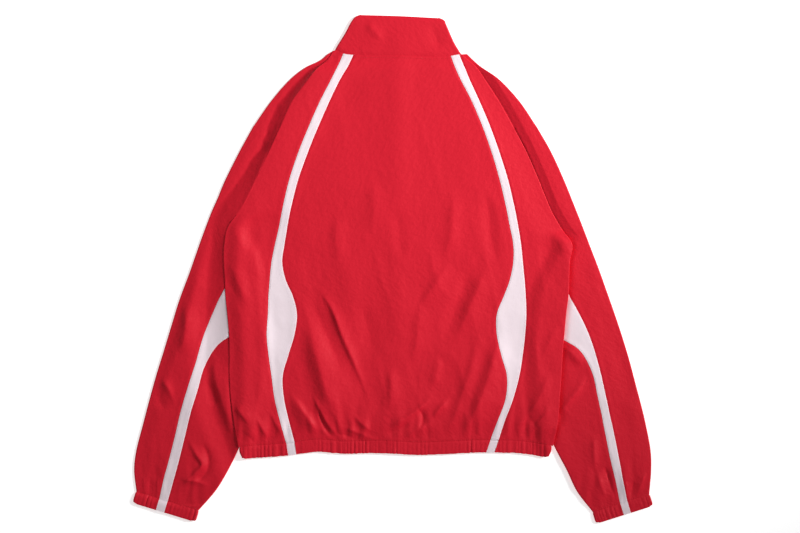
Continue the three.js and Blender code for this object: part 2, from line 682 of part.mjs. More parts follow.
// Points over the outer fold, from a place on top to a place below
function overOuterFold(section, topFrom, lowTo, columns, lowColumns) {
  const { top, low, reach, turn } = section;
  const upper = topPlaces(section, topFrom, reach, columns).map(top);
  const down = turn(0, reach, true);
  const up = turn(0, reach, false).slice(0, -1).reverse();
  const lower = spread(lowColumns).map((t) => low(mix(reach, lowTo, t)));
  return [...upper, ...down, ...up, ...lower];
}

// Points round the underarm fold, from a place below to a place on top
function roundUnderarm(section, lowFrom, topTo, lowColumns, columns) {
  const { top, low, reach, turn } = section;
  const inside = 1 - reach;
  const lower = spread(lowColumns).map((t) => low(mix(lowFrom, inside, t)));
  const up = turn(1, inside, false);
  const down = turn(1, inside, true).slice(0, -1).reverse();
  const upper = topPlaces(section, inside, topTo, columns).map(top);
  return [...lower, ...up, ...down, ...upper];
}

// The seam along the under side: at the armhole it starts from the armpit and settles near the underarm fold
function underSeam(side, level) {
  return level <= side.armpitLevel ? 1 : mix(0.93, 0.72, smooth(UNDER_START, 7, level));
}

const sleeveRows = (from) => SLEEVE_ROWS.filter((level) => level >= from);

function sleeveUpper(side) {
  const net = sleeveRows(0).map((level, r) => {
    const section = sleeveSection(side, level);
    const gap = SEAM_GAP * 1.5 / Math.abs(section.row.inner - section.row.outer);
    const body = level < side.armpitLevel + 0.01 ? 3 * gap : 2.4 * section.reach;
    const whiteSide = Math.min(section.share(section.row.whiteOut) - gap, 1 - body);
    const lowSide = underSeam(side, level) - gap;
    const points = overOuterFold(section, whiteSide, lowSide, COLUMNS.sleeveTop, COLUMNS.sleeveLow);
    points.forEach((point) => {
      point.y -= r === 0 ? SEAM_GAP : 0;
    });
    return points;
  });
  return side.sign < 0 ? mirrored(net) : net;
}

function sleeveUnder(side) {
  const net = sleeveRows(UNDER_START).map((level) => {
    const section = sleeveSection(side, level);
    const gap = SEAM_GAP * 1.5 / Math.abs(section.row.inner - section.row.outer);
    const whiteSide = Math.min(section.share(section.row.whiteIn) + gap, 1 - 1.5 * section.reach);
    const lowSide = underSeam(side, level) + gap;
    return roundUnderarm(section, lowSide, whiteSide, COLUMNS.under, COLUMNS.sleeveLow);
  });
  return side.sign < 0 ? mirrored(net) : net;
}

// The white insert: a wedge from the underarm that narrows to a tape and crosses the cuff
function sleeveInsert(side) {
  const across = (section) => {
    const gap = SEAM_GAP * 1.5 / Math.abs(section.row.inner - section.row.outer);
    const from = Math.min(section.share(section.row.whiteOut) + gap, 1 - 2.2 * section.reach);
    const to = Math.min(section.share(section.row.whiteIn) - gap, 1 - 2.1 * section.reach);
    return topPlaces(section, from, to, COLUMNS.insert);
  };
  const net = sleeveRows(INSERT_START).map((level) => {
    const section = sleeveSection(side, level);
    return across(section).map(section.top);
  });
  const end = side.sleeveAt(side.sleeveEnd);
  const wrist = sleeveSection(side, side.sleeveEnd);
  for (const down of [0.25, 1]) {
    net.push(across(wrist).map((t) => {
      const point = wrist.top(t);
      point.z = CUFF_TOP_Z;
      return point.add(cuffShift(side, end, down * CUFF_HEIGHT));
    }));
  }
  return side.sign < 0 ? mirrored(net) : net;
}

const CUFF_LOW_Z = CASING / 2;
const CUFF_TOP_Z = CUFF_LOW_Z + CASING + CASING_GAP;
// Width and fullness of the cuff's three rows: drawn in at its seam and at its opening
const CUFF_STRETCH = [0.99, 1.01, 0.99];
const CUFF_FULLNESS = [0.6, 1.2, 0.6];

// The way down the cuff: square to its opening
function cuffShift(side, end, down) {
  const along = new THREE.Vector3(end.inner - end.outer, -end.drop, 0).normalize();
  return new THREE.Vector3(along.y * side.sign, -along.x * side.sign, 0).multiplyScalar(-down);
}

function cuff(side) {
  const end = side.sleeveAt(side.sleeveEnd);
  const width = Math.abs(end.inner - end.outer);
  const gap = SEAM_GAP * 1.5 / width;
  const waves = (share) => Math.sin(share * Math.PI * 2 * CUFF_GATHERS);
  const net = [SEAM_GAP * 2, CUFF_HEIGHT * 0.45, CUFF_HEIGHT].map((down, r) => {
    const wall = sleeveSection(side, side.sleeveEnd, CUFF_LOW_Z, CUFF_TOP_Z, CUFF_STRETCH[r]);
    const from = wall.share(end.whiteOut) - gap;
    const to = wall.share(end.whiteIn) + gap;
    const columns = CUFF_GATHERS * COLUMNS_A_GATHER;
    const outward = overOuterFold(wall, from, 0.5, Math.round(columns * from), 5);
    const inward = roundUnderarm(wall, 0.5, to, 5, Math.round(columns * (1 - to)));
    const loop = [...outward, ...inward.slice(1)];
    const isTop = (point) => point.z > CUFF_TOP_Z - 0.01;
    return loop.map((point, c) => {
      const share = wall.share(point.x);
      const moved = point.clone().add(cuffShift(side, end, down));
      if (isTop(point) && c > 0 && c < loop.length - 1) {
        moved.z += CUFF_WAVE * waves(share) * CUFF_FULLNESS[r];
      }
      return moved;
    });
  });
  return side.sign < 0 ? mirrored(net) : net;
}

// Collar: the back stands from the neck seam to the top edge, and the two fronts lie lower under it.
function collarPoint(across, rise, height, dip) {
  const left = collarSides.left(rise);
  const right = collarSides.right(rise);
  const x = mix(left, right, across);
  const ease = dip(x) > 0 ? COLLAR_EASE : SEAM_GAP / 2;
  const neck = neckLine(THREE.MathUtils.clamp(x, -98, 116)) + ease;
  const y = mix(neck, collarEdge(x), rise) - dip(x);
  return new THREE.Vector3(x, y, height(x, y));
}

const COLLAR_LOW_Z = COLLAR / 2;
const collarBackZ = (x, y) => COLLAR_LOW_Z + COLLAR + COLLAR_GAP + 0.7 * overZip(x, y) * smooth(440, 395, y);
const COLLAR_RISES = [0, 0.25, 0.5, 0.75, 0.92, 1];

function collarRow(across, rise, height, dip, seamZ, rounded) {
  const span = collarSides.right(rise) - collarSides.left(rise);
  const reach = EDGE_REACH / span;
  const flat = across.map((t) => collarPoint(THREE.MathUtils.clamp(t, reach, 1 - reach), rise, height, dip));
  const start = rounded.left ? edgeArc(flat[0], collarPoint(0, rise, height, dip), seamZ).reverse() : [];
  const end = rounded.right ? edgeArc(flat[flat.length - 1], collarPoint(1, rise, height, dip), seamZ) : [];
  return [...start, ...flat, ...end];
}

function collar() {
  const middle = (COLLAR_LOW_Z * 2 + COLLAR + COLLAR_GAP) / 2;
  const back = COLLAR_RISES.map((rise) => {
    const across = spread(COLLAR_COLUMNS.back);
    const seamZ = middle + COLLAR_FOLD_GAP / 2;
    return collarRow(across, rise, collarBackZ, noDip, seamZ, { left: true, right: true });
  });
  addPiece('collar_back', clothWall([back.reverse()], COLLAR), RED);
  for (const side of Object.values(SIDES)) {
    const net = COLLAR_RISES.map((rise) => {
      const left = collarSides.left(rise);
      const span = collarSides.right(rise) - left;
      const slot = (zipX(NECK_SEAM) + side.sign * ZIP_SLOT / 2 - left) / span;
      const ends = side.sign < 0 ? [0, slot] : [slot, 1];
      const across = spread(COLLAR_COLUMNS.front).map((t) => mix(...ends, t));
      const rounded = { left: side.sign < 0, right: side.sign > 0 };
      return collarRow(across, rise, () => COLLAR_LOW_Z, scoop, middle - COLLAR_FOLD_GAP / 2, rounded);
    });
    addPiece(`collar_front_${side.name}`, clothWall([net], COLLAR), RED);
  }
}

// Zip: two tapes inside the front edges, the chain between them, and the slider at its closed top
const zipTopY = collarEdge(ZIP_TOP_X) - NECK_SCOOP - ZIP_BELOW_EDGE;
const sliderY = zipTopY - SLIDER.length / 2;
const zipEndY = zipTopY - SLIDER.length - SEAM_GAP;
const zipFootY = hemLine(ZIP_FOOT_X) + 2;

function zipLift(y) {
  const collarSeam = NECK_SEAM - NECK_SCOOP;
  const onCollar = (COLLAR - CLOTH) * smooth(collarSeam - 14, collarSeam - 2, y);
  const onHem = (CASING - CLOTH) * (1 - smooth(HEM_SEAM + 8, HEM_SEAM + 22, y));
  return CLOTH + SEAM_GAP + ZIP_TAPE / 2 + onCollar + onHem;
}

function zipStrip(fromX, toX, thickness) {
  const collarSeam = NECK_SEAM - NECK_SCOOP;
  const body = levelsBetween(collarSeam - 14, HEM_SEAM + 22, ZIP_ROWS);
  const net = [zipEndY, collarSeam - 2, ...body, HEM_SEAM + 8, zipFootY].map((y) => {
    return [fromX, toX].map((x) => new THREE.Vector3(zipX(y) + x, y, zipLift(y)));
  });
  return clothWall([net], thickness);
}

function zip() {
  const half = CHAIN_WIDTH / 2;
  const edge = half + SEAM_GAP;
  addPiece('zip_tape_left', zipStrip(-edge - TAPE_WIDTH, -edge, ZIP_TAPE), TAPE_RED);
  addPiece('zip_tape_right', zipStrip(edge, edge + TAPE_WIDTH, ZIP_TAPE), TAPE_RED);
  addPiece('zip_chain', zipStrip(-half, half, CHAIN_THICKNESS), TAPE_RED);
}

// Joined solids: the slider with its lugs and pin, and the pull tab with its eye
const wasm = await Module();
wasm.setup();

function toSolid(geometry) {
  const bare = geometry.index ? geometry.toNonIndexed() : geometry.clone();
  bare.deleteAttribute('normal');
  bare.deleteAttribute('uv');
  const merged = mergeVertices(bare, 1e-4);
  const vertProperties = new Float32Array(merged.attributes.position.array);
  const triVerts = new Uint32Array(merged.index.array);
  return new wasm.Manifold(new wasm.Mesh({ numProp: 3, vertProperties, triVerts }));
}

function toGeometry(solid) {
  const { vertProperties, triVerts } = solid.getMesh();
  const geometry = new THREE.BufferGeometry();
  geometry.setAttribute('position', new THREE.Float32BufferAttribute(vertProperties, 3));
  geometry.setIndex([...triVerts]);
  geometry.computeVertexNormals();
  return geometry;
}

const pinY = sliderY + PIN.ahead;
const pinX = zipX(sliderY);

function box({ width, length }, low, high, x, y) {
  return new THREE.BoxGeometry(width, length, high - low).translate(x, y, (low + high) / 2);
}

function slider() {
  const half = { x: SLIDER.width / 2, y: SLIDER.length / 2 };
  const shape = new THREE.Shape();
  shape.moveTo(-half.x * 0.6, -half.y);
  shape.lineTo(half.x * 0.6, -half.y);
  shape.lineTo(half.x, half.y * 0.5);
  shape.quadraticCurveTo(half.x, half.y, half.x * 0.5, half.y);
  shape.lineTo(-half.x * 0.5, half.y);
  shape.quadraticCurveTo(-half.x, half.y, -half.x, half.y * 0.5);
  const depth = SLIDER.high - SLIDER.low;
  const plate = new THREE.ExtrudeGeometry(shape, { depth, bevelEnabled: false, curveSegments: 4 });
  plate.translate(pinX, sliderY, SLIDER.low);
  const lugX = PULL.neckWidth / 2 + SEAM_GAP + LUG.width / 2;
  const pin = new THREE.CylinderGeometry(PIN.radius, PIN.radius, 2 * lugX, 12);
  pin.rotateZ(Math.PI / 2).translate(pinX, pinY, PULL_AXIS_Z);
  const lugs = [-lugX, lugX].map((x) => box(LUG, LUG.low, SLIDER.low + LUG.sunk, pinX + x, pinY));
  return toGeometry([plate, pin, ...lugs].map(toSolid).reduce((whole, piece) => whole.add(piece)));
}

// The pull tab lies down the chain. Its eye turns on the slider's pin.
function pullTab() {
  const half = PULL.thickness / 2;
  const start = Math.asin(half / PULL.eye);
  const profile = new THREE.Shape();
  profile.absarc(0, 0, PULL.eye, Math.PI + start, Math.PI * 3 - start, false);
  profile.lineTo(-PULL.length * 0.3, half);
  profile.lineTo(-PULL.length * 0.3, -half);
  const hole = new THREE.Path();
  hole.absarc(0, 0, PULL.hole, 0, Math.PI * 2, true);
  profile.holes.push(hole);
  const across = { depth: PULL.neckWidth, bevelEnabled: false, curveSegments: 10 };
  const neck = new THREE.ExtrudeGeometry(profile, across);
  neck.rotateX(Math.PI / 2).rotateZ(Math.PI / 2).translate(pinX - PULL.neckWidth / 2, pinY, PULL_AXIS_Z);
  const round = PULL.width / 2;
  const blade = new THREE.Shape();
  blade.moveTo(-round, 0);
  blade.lineTo(-round, -PULL.length * 0.75 + round);
  blade.absarc(0, -PULL.length * 0.75 + round, round, Math.PI, Math.PI * 2, false);
  blade.lineTo(round, 0);
  const thick = { depth: PULL.thickness, bevelEnabled: false, curveSegments: 8 };
  const grip = new THREE.ExtrudeGeometry(blade, thick);
  grip.translate(pinX, pinY - PULL.length * 0.25, PULL_AXIS_Z - half);
  return toGeometry(toSolid(neck).add(toSolid(grip)));
}

addPiece('back_centre', clothWall([backCentre()], CLOTH), RED);
for (const side of Object.values(SIDES)) {
  addPiece(`back_tape_${side.name}`, clothWall([backTape(side)], CLOTH), WHITE);
  addPiece(`back_side_${side.name}`, clothWall(backSide(side), CLOTH), RED);
  addPiece(`front_${side.name}`, clothWall(frontPanel(side), CLOTH), RED);
  addPiece(`sleeve_upper_${side.name}`, clothWall([sleeveUpper(side)], CLOTH), RED);
  addPiece(`sleeve_under_${side.name}`, clothWall([sleeveUnder(side)], CLOTH), RED);
  addPiece(`sleeve_insert_${side.name}`, clothWall([sleeveInsert(side)], CLOTH), WHITE);
  addPiece(`cuff_${side.name}`, clothWall([cuff(side)], CASING), RED);
}
hemBands();
collar();
zip();
addPiece('zip_slider', slider(), METAL);
addPiece('zip_pull_tab', pullTab(), METAL);

export default jacket;
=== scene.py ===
import bmesh
import bpy
import numpy as np
from mathutils import Matrix, Vector


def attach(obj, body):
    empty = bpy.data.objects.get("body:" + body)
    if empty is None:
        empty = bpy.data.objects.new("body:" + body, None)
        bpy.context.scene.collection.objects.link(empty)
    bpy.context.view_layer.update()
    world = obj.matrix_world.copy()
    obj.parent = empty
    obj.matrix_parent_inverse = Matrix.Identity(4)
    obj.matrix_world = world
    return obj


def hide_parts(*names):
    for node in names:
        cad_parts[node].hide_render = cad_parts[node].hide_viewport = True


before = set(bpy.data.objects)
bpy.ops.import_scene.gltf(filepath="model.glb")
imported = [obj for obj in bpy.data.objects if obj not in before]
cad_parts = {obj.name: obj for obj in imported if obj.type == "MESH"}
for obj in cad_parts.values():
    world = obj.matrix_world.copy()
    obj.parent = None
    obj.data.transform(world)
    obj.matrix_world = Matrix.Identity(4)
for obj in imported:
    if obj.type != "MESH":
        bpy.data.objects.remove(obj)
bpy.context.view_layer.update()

MM = 0.001

# Cloth, casings and the layers that lie on each other
CLOTH = 1.2
CASING = 2.4
COLLAR = 1.8
SHELL = 0.8
FLOOR_LAYER = 0.6
SLEEVE_TOP = 2.8
BODY_OVER_SLEEVE = 4.1
LAYER_GAP = 1.5
CASING_GAP = 0.5
COLLAR_GAP = 1.2
HEM_HEIGHT = 20
CUFF_HEIGHT = 20
NECK_SEAM = 364
HEM_SEAM = -296
SHOULDER_SEAM = 243
ZIP_TOP_X = 11
ZIP_FOOT_X = 4
NECK_SCOOP = 52
ZIP_SLOT = 10
LOFT = 2.8
LEFT_FALL = 8.6
FOOT_SLANT = {"left": 3, "right": -7}
CORNER = 2.2

# Seam lines of the body from the neck seam down to the hem band: y, then where the line of each name crosses it
BODY_NAMES = ("y", "fold_left", "out_left", "in_left", "in_right", "out_right", "fold_right")
BODY_LINES = (
    (364, -102, -84, -67, 99, 113, 117),
    (345, -125, -94, -77, 106, 122, 142),
    (323, -144, -105, -90, 116, 131, 157),
    (286, -171, -124, -108, 135, 148, 181),
    (243, -191, -143, -127, 153, 166, 205),
    (201, -210, -160, -144, 168, 181, 227),
    (153, -232, -176, -161, 182, 196, 248),
    (106, -256, -187, -173, 193, 207, 267),
    (75, -279, -193, -179, 199, 213, 284),
    (44, -286, -200, -184, 205, 218, 304),
    (14, -287, -206, -188, 205, 221, 300),
    (-17, -285, -209, -182, 199, 224, 299),
    (-44, -284, -211, -170, 189, 226, 298),
    (-75, -281, -212, -163, 177, 227, 294),
    (-109, -278, -214, -167, 177, 225, 291),
    (-143, -277, -211, -177, 184, 221, 288),
    (-180, -277, -206, -187, 194, 215, 286),
    (-217, -275, -201, -185, 192, 205, 283),
    (-255, -270, -192, -177, 180, 192, 280),
    (-296, -263, -181, -167, 166, 180, 272),
)
SHOULDER_NAMES = ("y", "left", "right")
SHOULDER_LINE = ((364, -112, 126), (345, -148, 151), (323, -176, 182), (286, -208, 216), (243, -238, 245))

# Each sleeve from the shoulder seam to the cuff: y on the outer fold, the fall to the inner edge, then places across
SLEEVE_NAMES = ("y", "drop", "outer", "white_out", "white_in", "inner")
SLEEVES = {
    "left": (
        (243, 0, -238, -191, -191, -191),
        (201, 4, -261, -212, -212, -212),
        (153, 10, -285, -237, -237, -237),
        (122, 16, -298, -256, -256, -256),
        (97, 22, -309, -279, -279, -279),
        (60, 32, -323, -262, -262, -262),
        (26, 42, -335, -266, -249, -249),
        (-8, 49, -347, -288, -242, -242),
        (-51, 56, -363, -307, -257, -236),
        (-93, 60, -376, -323, -297, -236),
        (-136, 61, -389, -335, -320, -238),
        (-178, 60, -402, -348, -332, -244),
        (-221, 54, -414, -360, -344, -253),
        (-263, 42, -425, -369, -353, -263),
        (-306, 41, -436, -380, -364, -284),
        (-340, 37, -440, -389, -373, -303),
        (-377, 32, -436, -397, -383, -331),
    ),
    "right": (
        (243, 0, 245, 205, 205, 205),
        (201, 4, 269, 229, 229, 229),
        (153, 10, 291, 252, 252, 252),
        (106, 16, 310, 276, 276, 276),
        (68, 23, 325, 304, 304, 304),
        (34, 32, 338, 284, 284, 284),
        (0, 44, 351, 294, 266, 266),
        (-34, 48, 363, 309, 262, 262),
        (-71, 51, 376, 326, 281, 257),
        (-110, 49, 389, 340, 318, 258),
        (-153, 48, 402, 352, 339, 260),
        (-195, 42, 413, 361, 348, 263),
        (-229, 39, 422, 368, 355, 267),
        (-263, 32, 430, 375, 361, 273),
        (-306, 34, 438, 384, 370, 296),
        (-343, 34, 439, 391, 379, 314),
        (-382, 30, 436, 399, 387, 341),
    ),
}
SIGN = {"left": -1, "right": 1}
ARMPIT = {"left": 75, "right": 44}

# The neck seam, the hem band's lower edge and the collar
NECK_LINE = ((-112, 366), (-98, 373), (-82, 367), (-60, 365), (10, 364), (95, 363), (112, 366), (126, 367))
HEM_LINE = (
    (-256, -321), (-177, -315), (-127, -309), (-86, -312), (-23, -311), (46, -314), (160, -310), (220, -312),
    (262, -318),
)
COLLAR_SIDES = (
    (0, -98, 116), (0.17, -93, 110), (0.35, -87, 104), (0.6, -78, 97), (0.85, -69, 90), (0.96, -62, 86), (1, -55, 79),
)
COLLAR_EDGE = ((-62, 434), (10, 432), (86, 428))

# Creases of the upper layer, placed on a layout sheet of 1.7 mm squares counted from its upper left corner.
# Each has its half width and height in millimetres, a trough being below zero, its lean to the right, and its places.
SQUARE = 1.7
SHEET_MIDDLE = (392.75, 270.1)
CREASE_DEPTH = 1.58
BODY_CREASES = (
    (26, 4.4, 0.45, ((306, 318), (314, 348), (322, 378), (332, 408), (344, 440))),
    (8, 2.4, -0.3, ((290, 392), (302, 410), (313, 426), (320, 440))),
    (4, -2.2, 0.3, ((318, 404), (321, 418), (326, 430), (338, 443))),
    (6, 2.2, 0.3, ((312, 392), (320, 410), (332, 430), (346, 443))),
    (7, 2.4, 0.4, ((316, 284), (332, 310), (342, 336), (356, 368), (372, 408))),
    (12, -1.4, 0.0, ((306, 290), (320, 320), (334, 352), (350, 388))),
    (9, 1.5, 0.3, ((390, 366), (391, 388), (390, 412))),
    (4, -1.8, 0.0, ((332, 432), (344, 435), (356, 439), (368, 444))),
    (5, 2.2, 0.3, ((340, 426), (356, 432), (370, 438), (382, 442))),
    (4, -1.6, 0.0, ((384, 436), (398, 430), (412, 421))),
    (5, 2.0, 0.0, ((386, 428), (402, 420), (420, 408), (434, 394))),
    (4, -1.7, 0.0, ((416, 406), (422, 414), (422, 424), (414, 434))),
    (5, 1.8, 0.0, ((432, 418), (440, 408), (450, 398))),
    (16, 3.5, 0.35, ((501, 328), (494, 358), (484, 390), (473, 416), (461, 442))),
    (10, 1.5, 0.3, ((474, 330), (474, 358), (464, 390), (454, 418), (444, 436))),
    (12, 1.6, 0.3, ((488, 264), (478, 288), (466, 316), (456, 344))),
    (12, -1.5, 0.0, ((474, 262), (464, 288), (452, 318), (444, 344))),
    (10, 1.2, 0.3, ((450, 262), (434, 286), (418, 310))),
    (9, 1.3, 0.0, ((441, 356), (436, 372), (434, 390))),
    (10, -1.3, 0.0, ((484, 184), (489, 216), (492, 244), (500, 266))),
    (11, 1.2, 0.2, ((452, 186), (453, 214), (450, 240), (442, 264))),
    (12, -0.9, 0.0, ((397, 206), (399, 234), (402, 262))),
    (13, 0.9, 0.2, ((372, 176), (374, 206), (372, 238))),
    (10, 0.9, 0.3, ((338, 214), (336, 240), (340, 266))),
    (11, 1.1, 0.3, ((420, 300), (418, 334), (412, 368))),
    (12, -1.1, 0.0, ((360, 300), (368, 330), (374, 364))),
    (6, 1.6, 0.2, ((352, 412), (362, 424), (376, 434))),
    (6, 1.9, -0.2, ((404, 440), (416, 430), (432, 424))),
    (8, 0.9, 0.3, ((230, 262), (239, 284), (252, 312))),
    (7, -0.6, 0.0, ((228, 276), (236, 296), (244, 316))),
    (7, 1.8, 0.3, ((234, 404), (242, 414), (250, 424))),
    (7, 2.0, 0.3, ((256, 416), (262, 428), (270, 442))),
    (5, -1.5, 0.0, ((247, 434), (252, 440), (258, 447))),
    (6, 1.4, 0.3, ((270, 410), (276, 424), (284, 438))),
    (8, 0.8, 0.2, ((558, 324), (550, 340), (541, 358))),
    (8, 0.9, 0.2, ((549, 370), (542, 392), (528, 418))),
    (4, -0.7, 0.0, ((546, 413), (535, 420), (520, 430))),
    (4, -0.5, 0.0, ((526, 414), (532, 421), (540, 432))),
    (5, 0.9, 0.0, ((552, 404), (540, 420), (526, 441))),
    (5, 0.7, 0.0, ((540, 398), (528, 414), (512, 432))),
    (10, 1.2, 0.2, ((250, 240), (256, 262), (262, 284))),
    (4, -1.0, 0.0, ((560, 236), (568, 240), (575, 243))),
    (6, 0.8, 0.0, ((556, 246), (566, 249), (573, 252))),
)
SLEEVE_CREASES = (
    (6, 2.0, 0.2, ((160, 378), (165, 384), (169, 390), (176, 408))),
    (9, -1.6, 0.0, ((150, 380), (158, 398), (166, 414))),
    (9, 2.0, 0.3, ((184, 300), (186, 330), (180, 356))),
    (12, 2.4, 0.4, ((213, 352), (216, 380), (226, 412), (234, 440))),
    (7, -1.6, 0.0, ((206, 378), (213, 396), (218, 408))),
    (6, 2.6, 0.4, ((186, 436), (196, 454), (202, 464), (196, 472), (178, 490))),
    (6, -2.0, 0.0, ((200, 440), (208, 456), (206, 472), (190, 490))),
    (5, 2.0, 0.0, ((180, 480), (194, 481), (210, 486))),
    (4, -2.2, 0.0, ((150, 478), (150, 490), (152, 500))),
    (5, 2.2, 0.0, ((143, 474), (144, 488), (146, 500))),
    (5, 1.8, 0.0, ((158, 476), (157, 488), (158, 500))),
    (10, 1.8, 0.3, ((174, 250), (168, 280), (160, 310))),
    (9, 1.6, 0.3, ((196, 190), (186, 218), (178, 246))),
    (9, 1.9, 0.2, ((566, 346), (574, 356), (584, 366))),
    (7, 2.0, -0.3, ((586, 374), (578, 390), (568, 402), (560, 418))),
    (5, -1.8, 0.0, ((562, 408), (560, 420), (554, 430))),
    (7, 1.6, -0.2, ((594, 434), (594, 452), (595, 474))),
    (5, -2.2, 0.0, ((604, 464), (610, 484), (618, 506))),
    (5, 1.4, 0.0, ((596, 470), (602, 488), (610, 506))),
    (5, 2.4, 0.0, ((646, 470), (641, 484), (636, 498))),
    (4, -2.2, 0.0, ((634, 480), (632, 490), (631, 500))),
    (5, 2.2, 0.0, ((626, 480), (626, 490), (628, 502))),
    (9, 1.7, -0.3, ((612, 250), (620, 284), (630, 316))),
    (10, 1.7, -0.3, ((640, 370), (646, 400), (652, 430))),
    (9, 1.4, 0.0, ((590, 190), (600, 216), (606, 240))),
)
COLLAR_CREASES = (
    (7, 1.3, 0.3, ((364, 22), (374, 32), (384, 42))),
    (10, -0.8, 0.0, ((430, 24), (436, 38), (440, 50))),
)


def column(table, name, names):
    """One named column of a table, as numbers"""
    return np.array([row[names.index(name)] for row in table], float)


def curve(places, values):
    """A smooth line through the values, which can be read at any place"""
    places = np.asarray(places, float)
    values = np.asarray(values, float)
    if places[0] > places[-1]:
        places = places[::-1]
        values = values[::-1]
    slopes = np.diff(values) / np.diff(places)
    leans = np.concatenate([slopes[:1], (slopes[1:] + slopes[:-1]) / 2, slopes[-1:]])

    def read(at):
        at = np.asarray(at, float)
        i = np.clip(np.searchsorted(places, at) - 1, 0, len(slopes) - 1)
        step = places[i + 1] - places[i]
        t = np.clip((at - places[i]) / step, 0, 1)
        ease = t * t * (3 - 2 * t)
        bend = step * (t * (1 - t) ** 2 * leans[i] + t * t * (t - 1) * leans[i + 1])
        past = np.maximum(at - places[-1], 0) * leans[-1] + np.minimum(at - places[0], 0) * leans[0]
        return values[i] * (1 - ease) + values[i + 1] * ease + bend + past

    return read


def smooth(start, end, at):
    """0 before start, 1 past end, and an even ease between"""
    t = np.clip((np.asarray(at, float) - start) / (end - start), 0, 1)
    return t * t * (3 - 2 * t)


def mix(a, b, t):
    return a + (b - a) * t


def drift(x, y, size, seed):
    """A smooth swell between -1 and 1 whose waves are about that size"""
    lattice = np.random.default_rng(seed).uniform(-1, 1, (64, 64))
    u = np.asarray(x, float) / size + 31
    v = np.asarray(y, float) / size + 31
    i = np.floor(u).astype(int)
    j = np.floor(v).astype(int)
    a = (u - i) ** 3 * ((u - i) * (6 * (u - i) - 15) + 10)
    b = (v - j) ** 3 * ((v - j) * (6 * (v - j) - 15) + 10)
    low = lattice[i % 64, j % 64] * (1 - a) + lattice[(i + 1) % 64, j % 64] * a
    high = lattice[i % 64, (j + 1) % 64] * (1 - a) + lattice[(i + 1) % 64, (j + 1) % 64] * a
    return low * (1 - b) + high * b


LEVELS = np.arange(len(BODY_LINES))
body_at = {name: curve(LEVELS, column(BODY_LINES, name, BODY_NAMES)) for name in BODY_NAMES}
body_y = column(BODY_LINES, "y", BODY_NAMES)
fold_line = {side: curve(body_y, column(BODY_LINES, "fold_" + side, BODY_NAMES)) for side in SIGN}
shoulder_levels = np.arange(len(SHOULDER_LINE))
shoulder_at = {side: curve(shoulder_levels, column(SHOULDER_LINE, side, SHOULDER_NAMES)) for side in SIGN}
neck_line = curve(*zip(*NECK_LINE))
hem_line = curve(*zip(*HEM_LINE))
collar_edge = curve(*zip(*COLLAR_EDGE))
collar_left = curve([row[0] for row in COLLAR_SIDES], [row[1] for row in COLLAR_SIDES])
collar_right = curve([row[0] for row in COLLAR_SIDES], [row[2] for row in COLLAR_SIDES])
sleeve_at = {}
outer_line = {}
underarm = {}
for side, rows in SLEEVES.items():
    numbers = np.arange(len(rows))
    columns = {name: column(rows, name, SLEEVE_NAMES) for name in SLEEVE_NAMES}
    sleeve_at[side] = {name: curve(numbers, values) for name, values in columns.items()}
    underarm[side] = curve(columns["y"] - columns["drop"], columns["inner"])
    shoulder = [row for row in SHOULDER_LINE if row[0] > SHOULDER_SEAM]
    top_y = [row[0] for row in shoulder]
    top_x = [row[1 if side == "left" else 2] for row in shoulder]
    outer_line[side] = curve(top_y + list(columns["y"]), top_x + list(columns["outer"]))


def zip_x(y):
    return mix(ZIP_TOP_X, ZIP_FOOT_X, (NECK_SEAM - y) / (NECK_SEAM - HEM_SEAM))


def scoop(x):
    """How far the front neckline hangs below the back's"""
    return NECK_SCOOP * np.maximum(0, 1 - ((x - ZIP_TOP_X) / 100) ** 2)


def below_armpit(side, y):
    return 1 - smooth(ARMPIT[side] + 2, ARMPIT[side] + 28, y)


def front_z(x, y):
    """Middle of the front's cloth: on the floor, and up over the sleeves at the sides"""
    climb = 0
    for side, sign in SIGN.items():
        inward = sign * (underarm[side](y) - x)
        climb = np.maximum(climb, (1 - smooth(10, 38, inward)) * below_armpit(side, y))
    return FLOOR_LAYER + BODY_OVER_SLEEVE * climb


def over_zip(x, y):
    aside = x - zip_x(y)
    on_chain = 1.3 * np.exp(-((aside / 24) ** 2))
    on_collar = 0.8 * smooth(270, 320, y) * np.exp(-((aside / 90) ** 4))
    return on_chain + on_collar


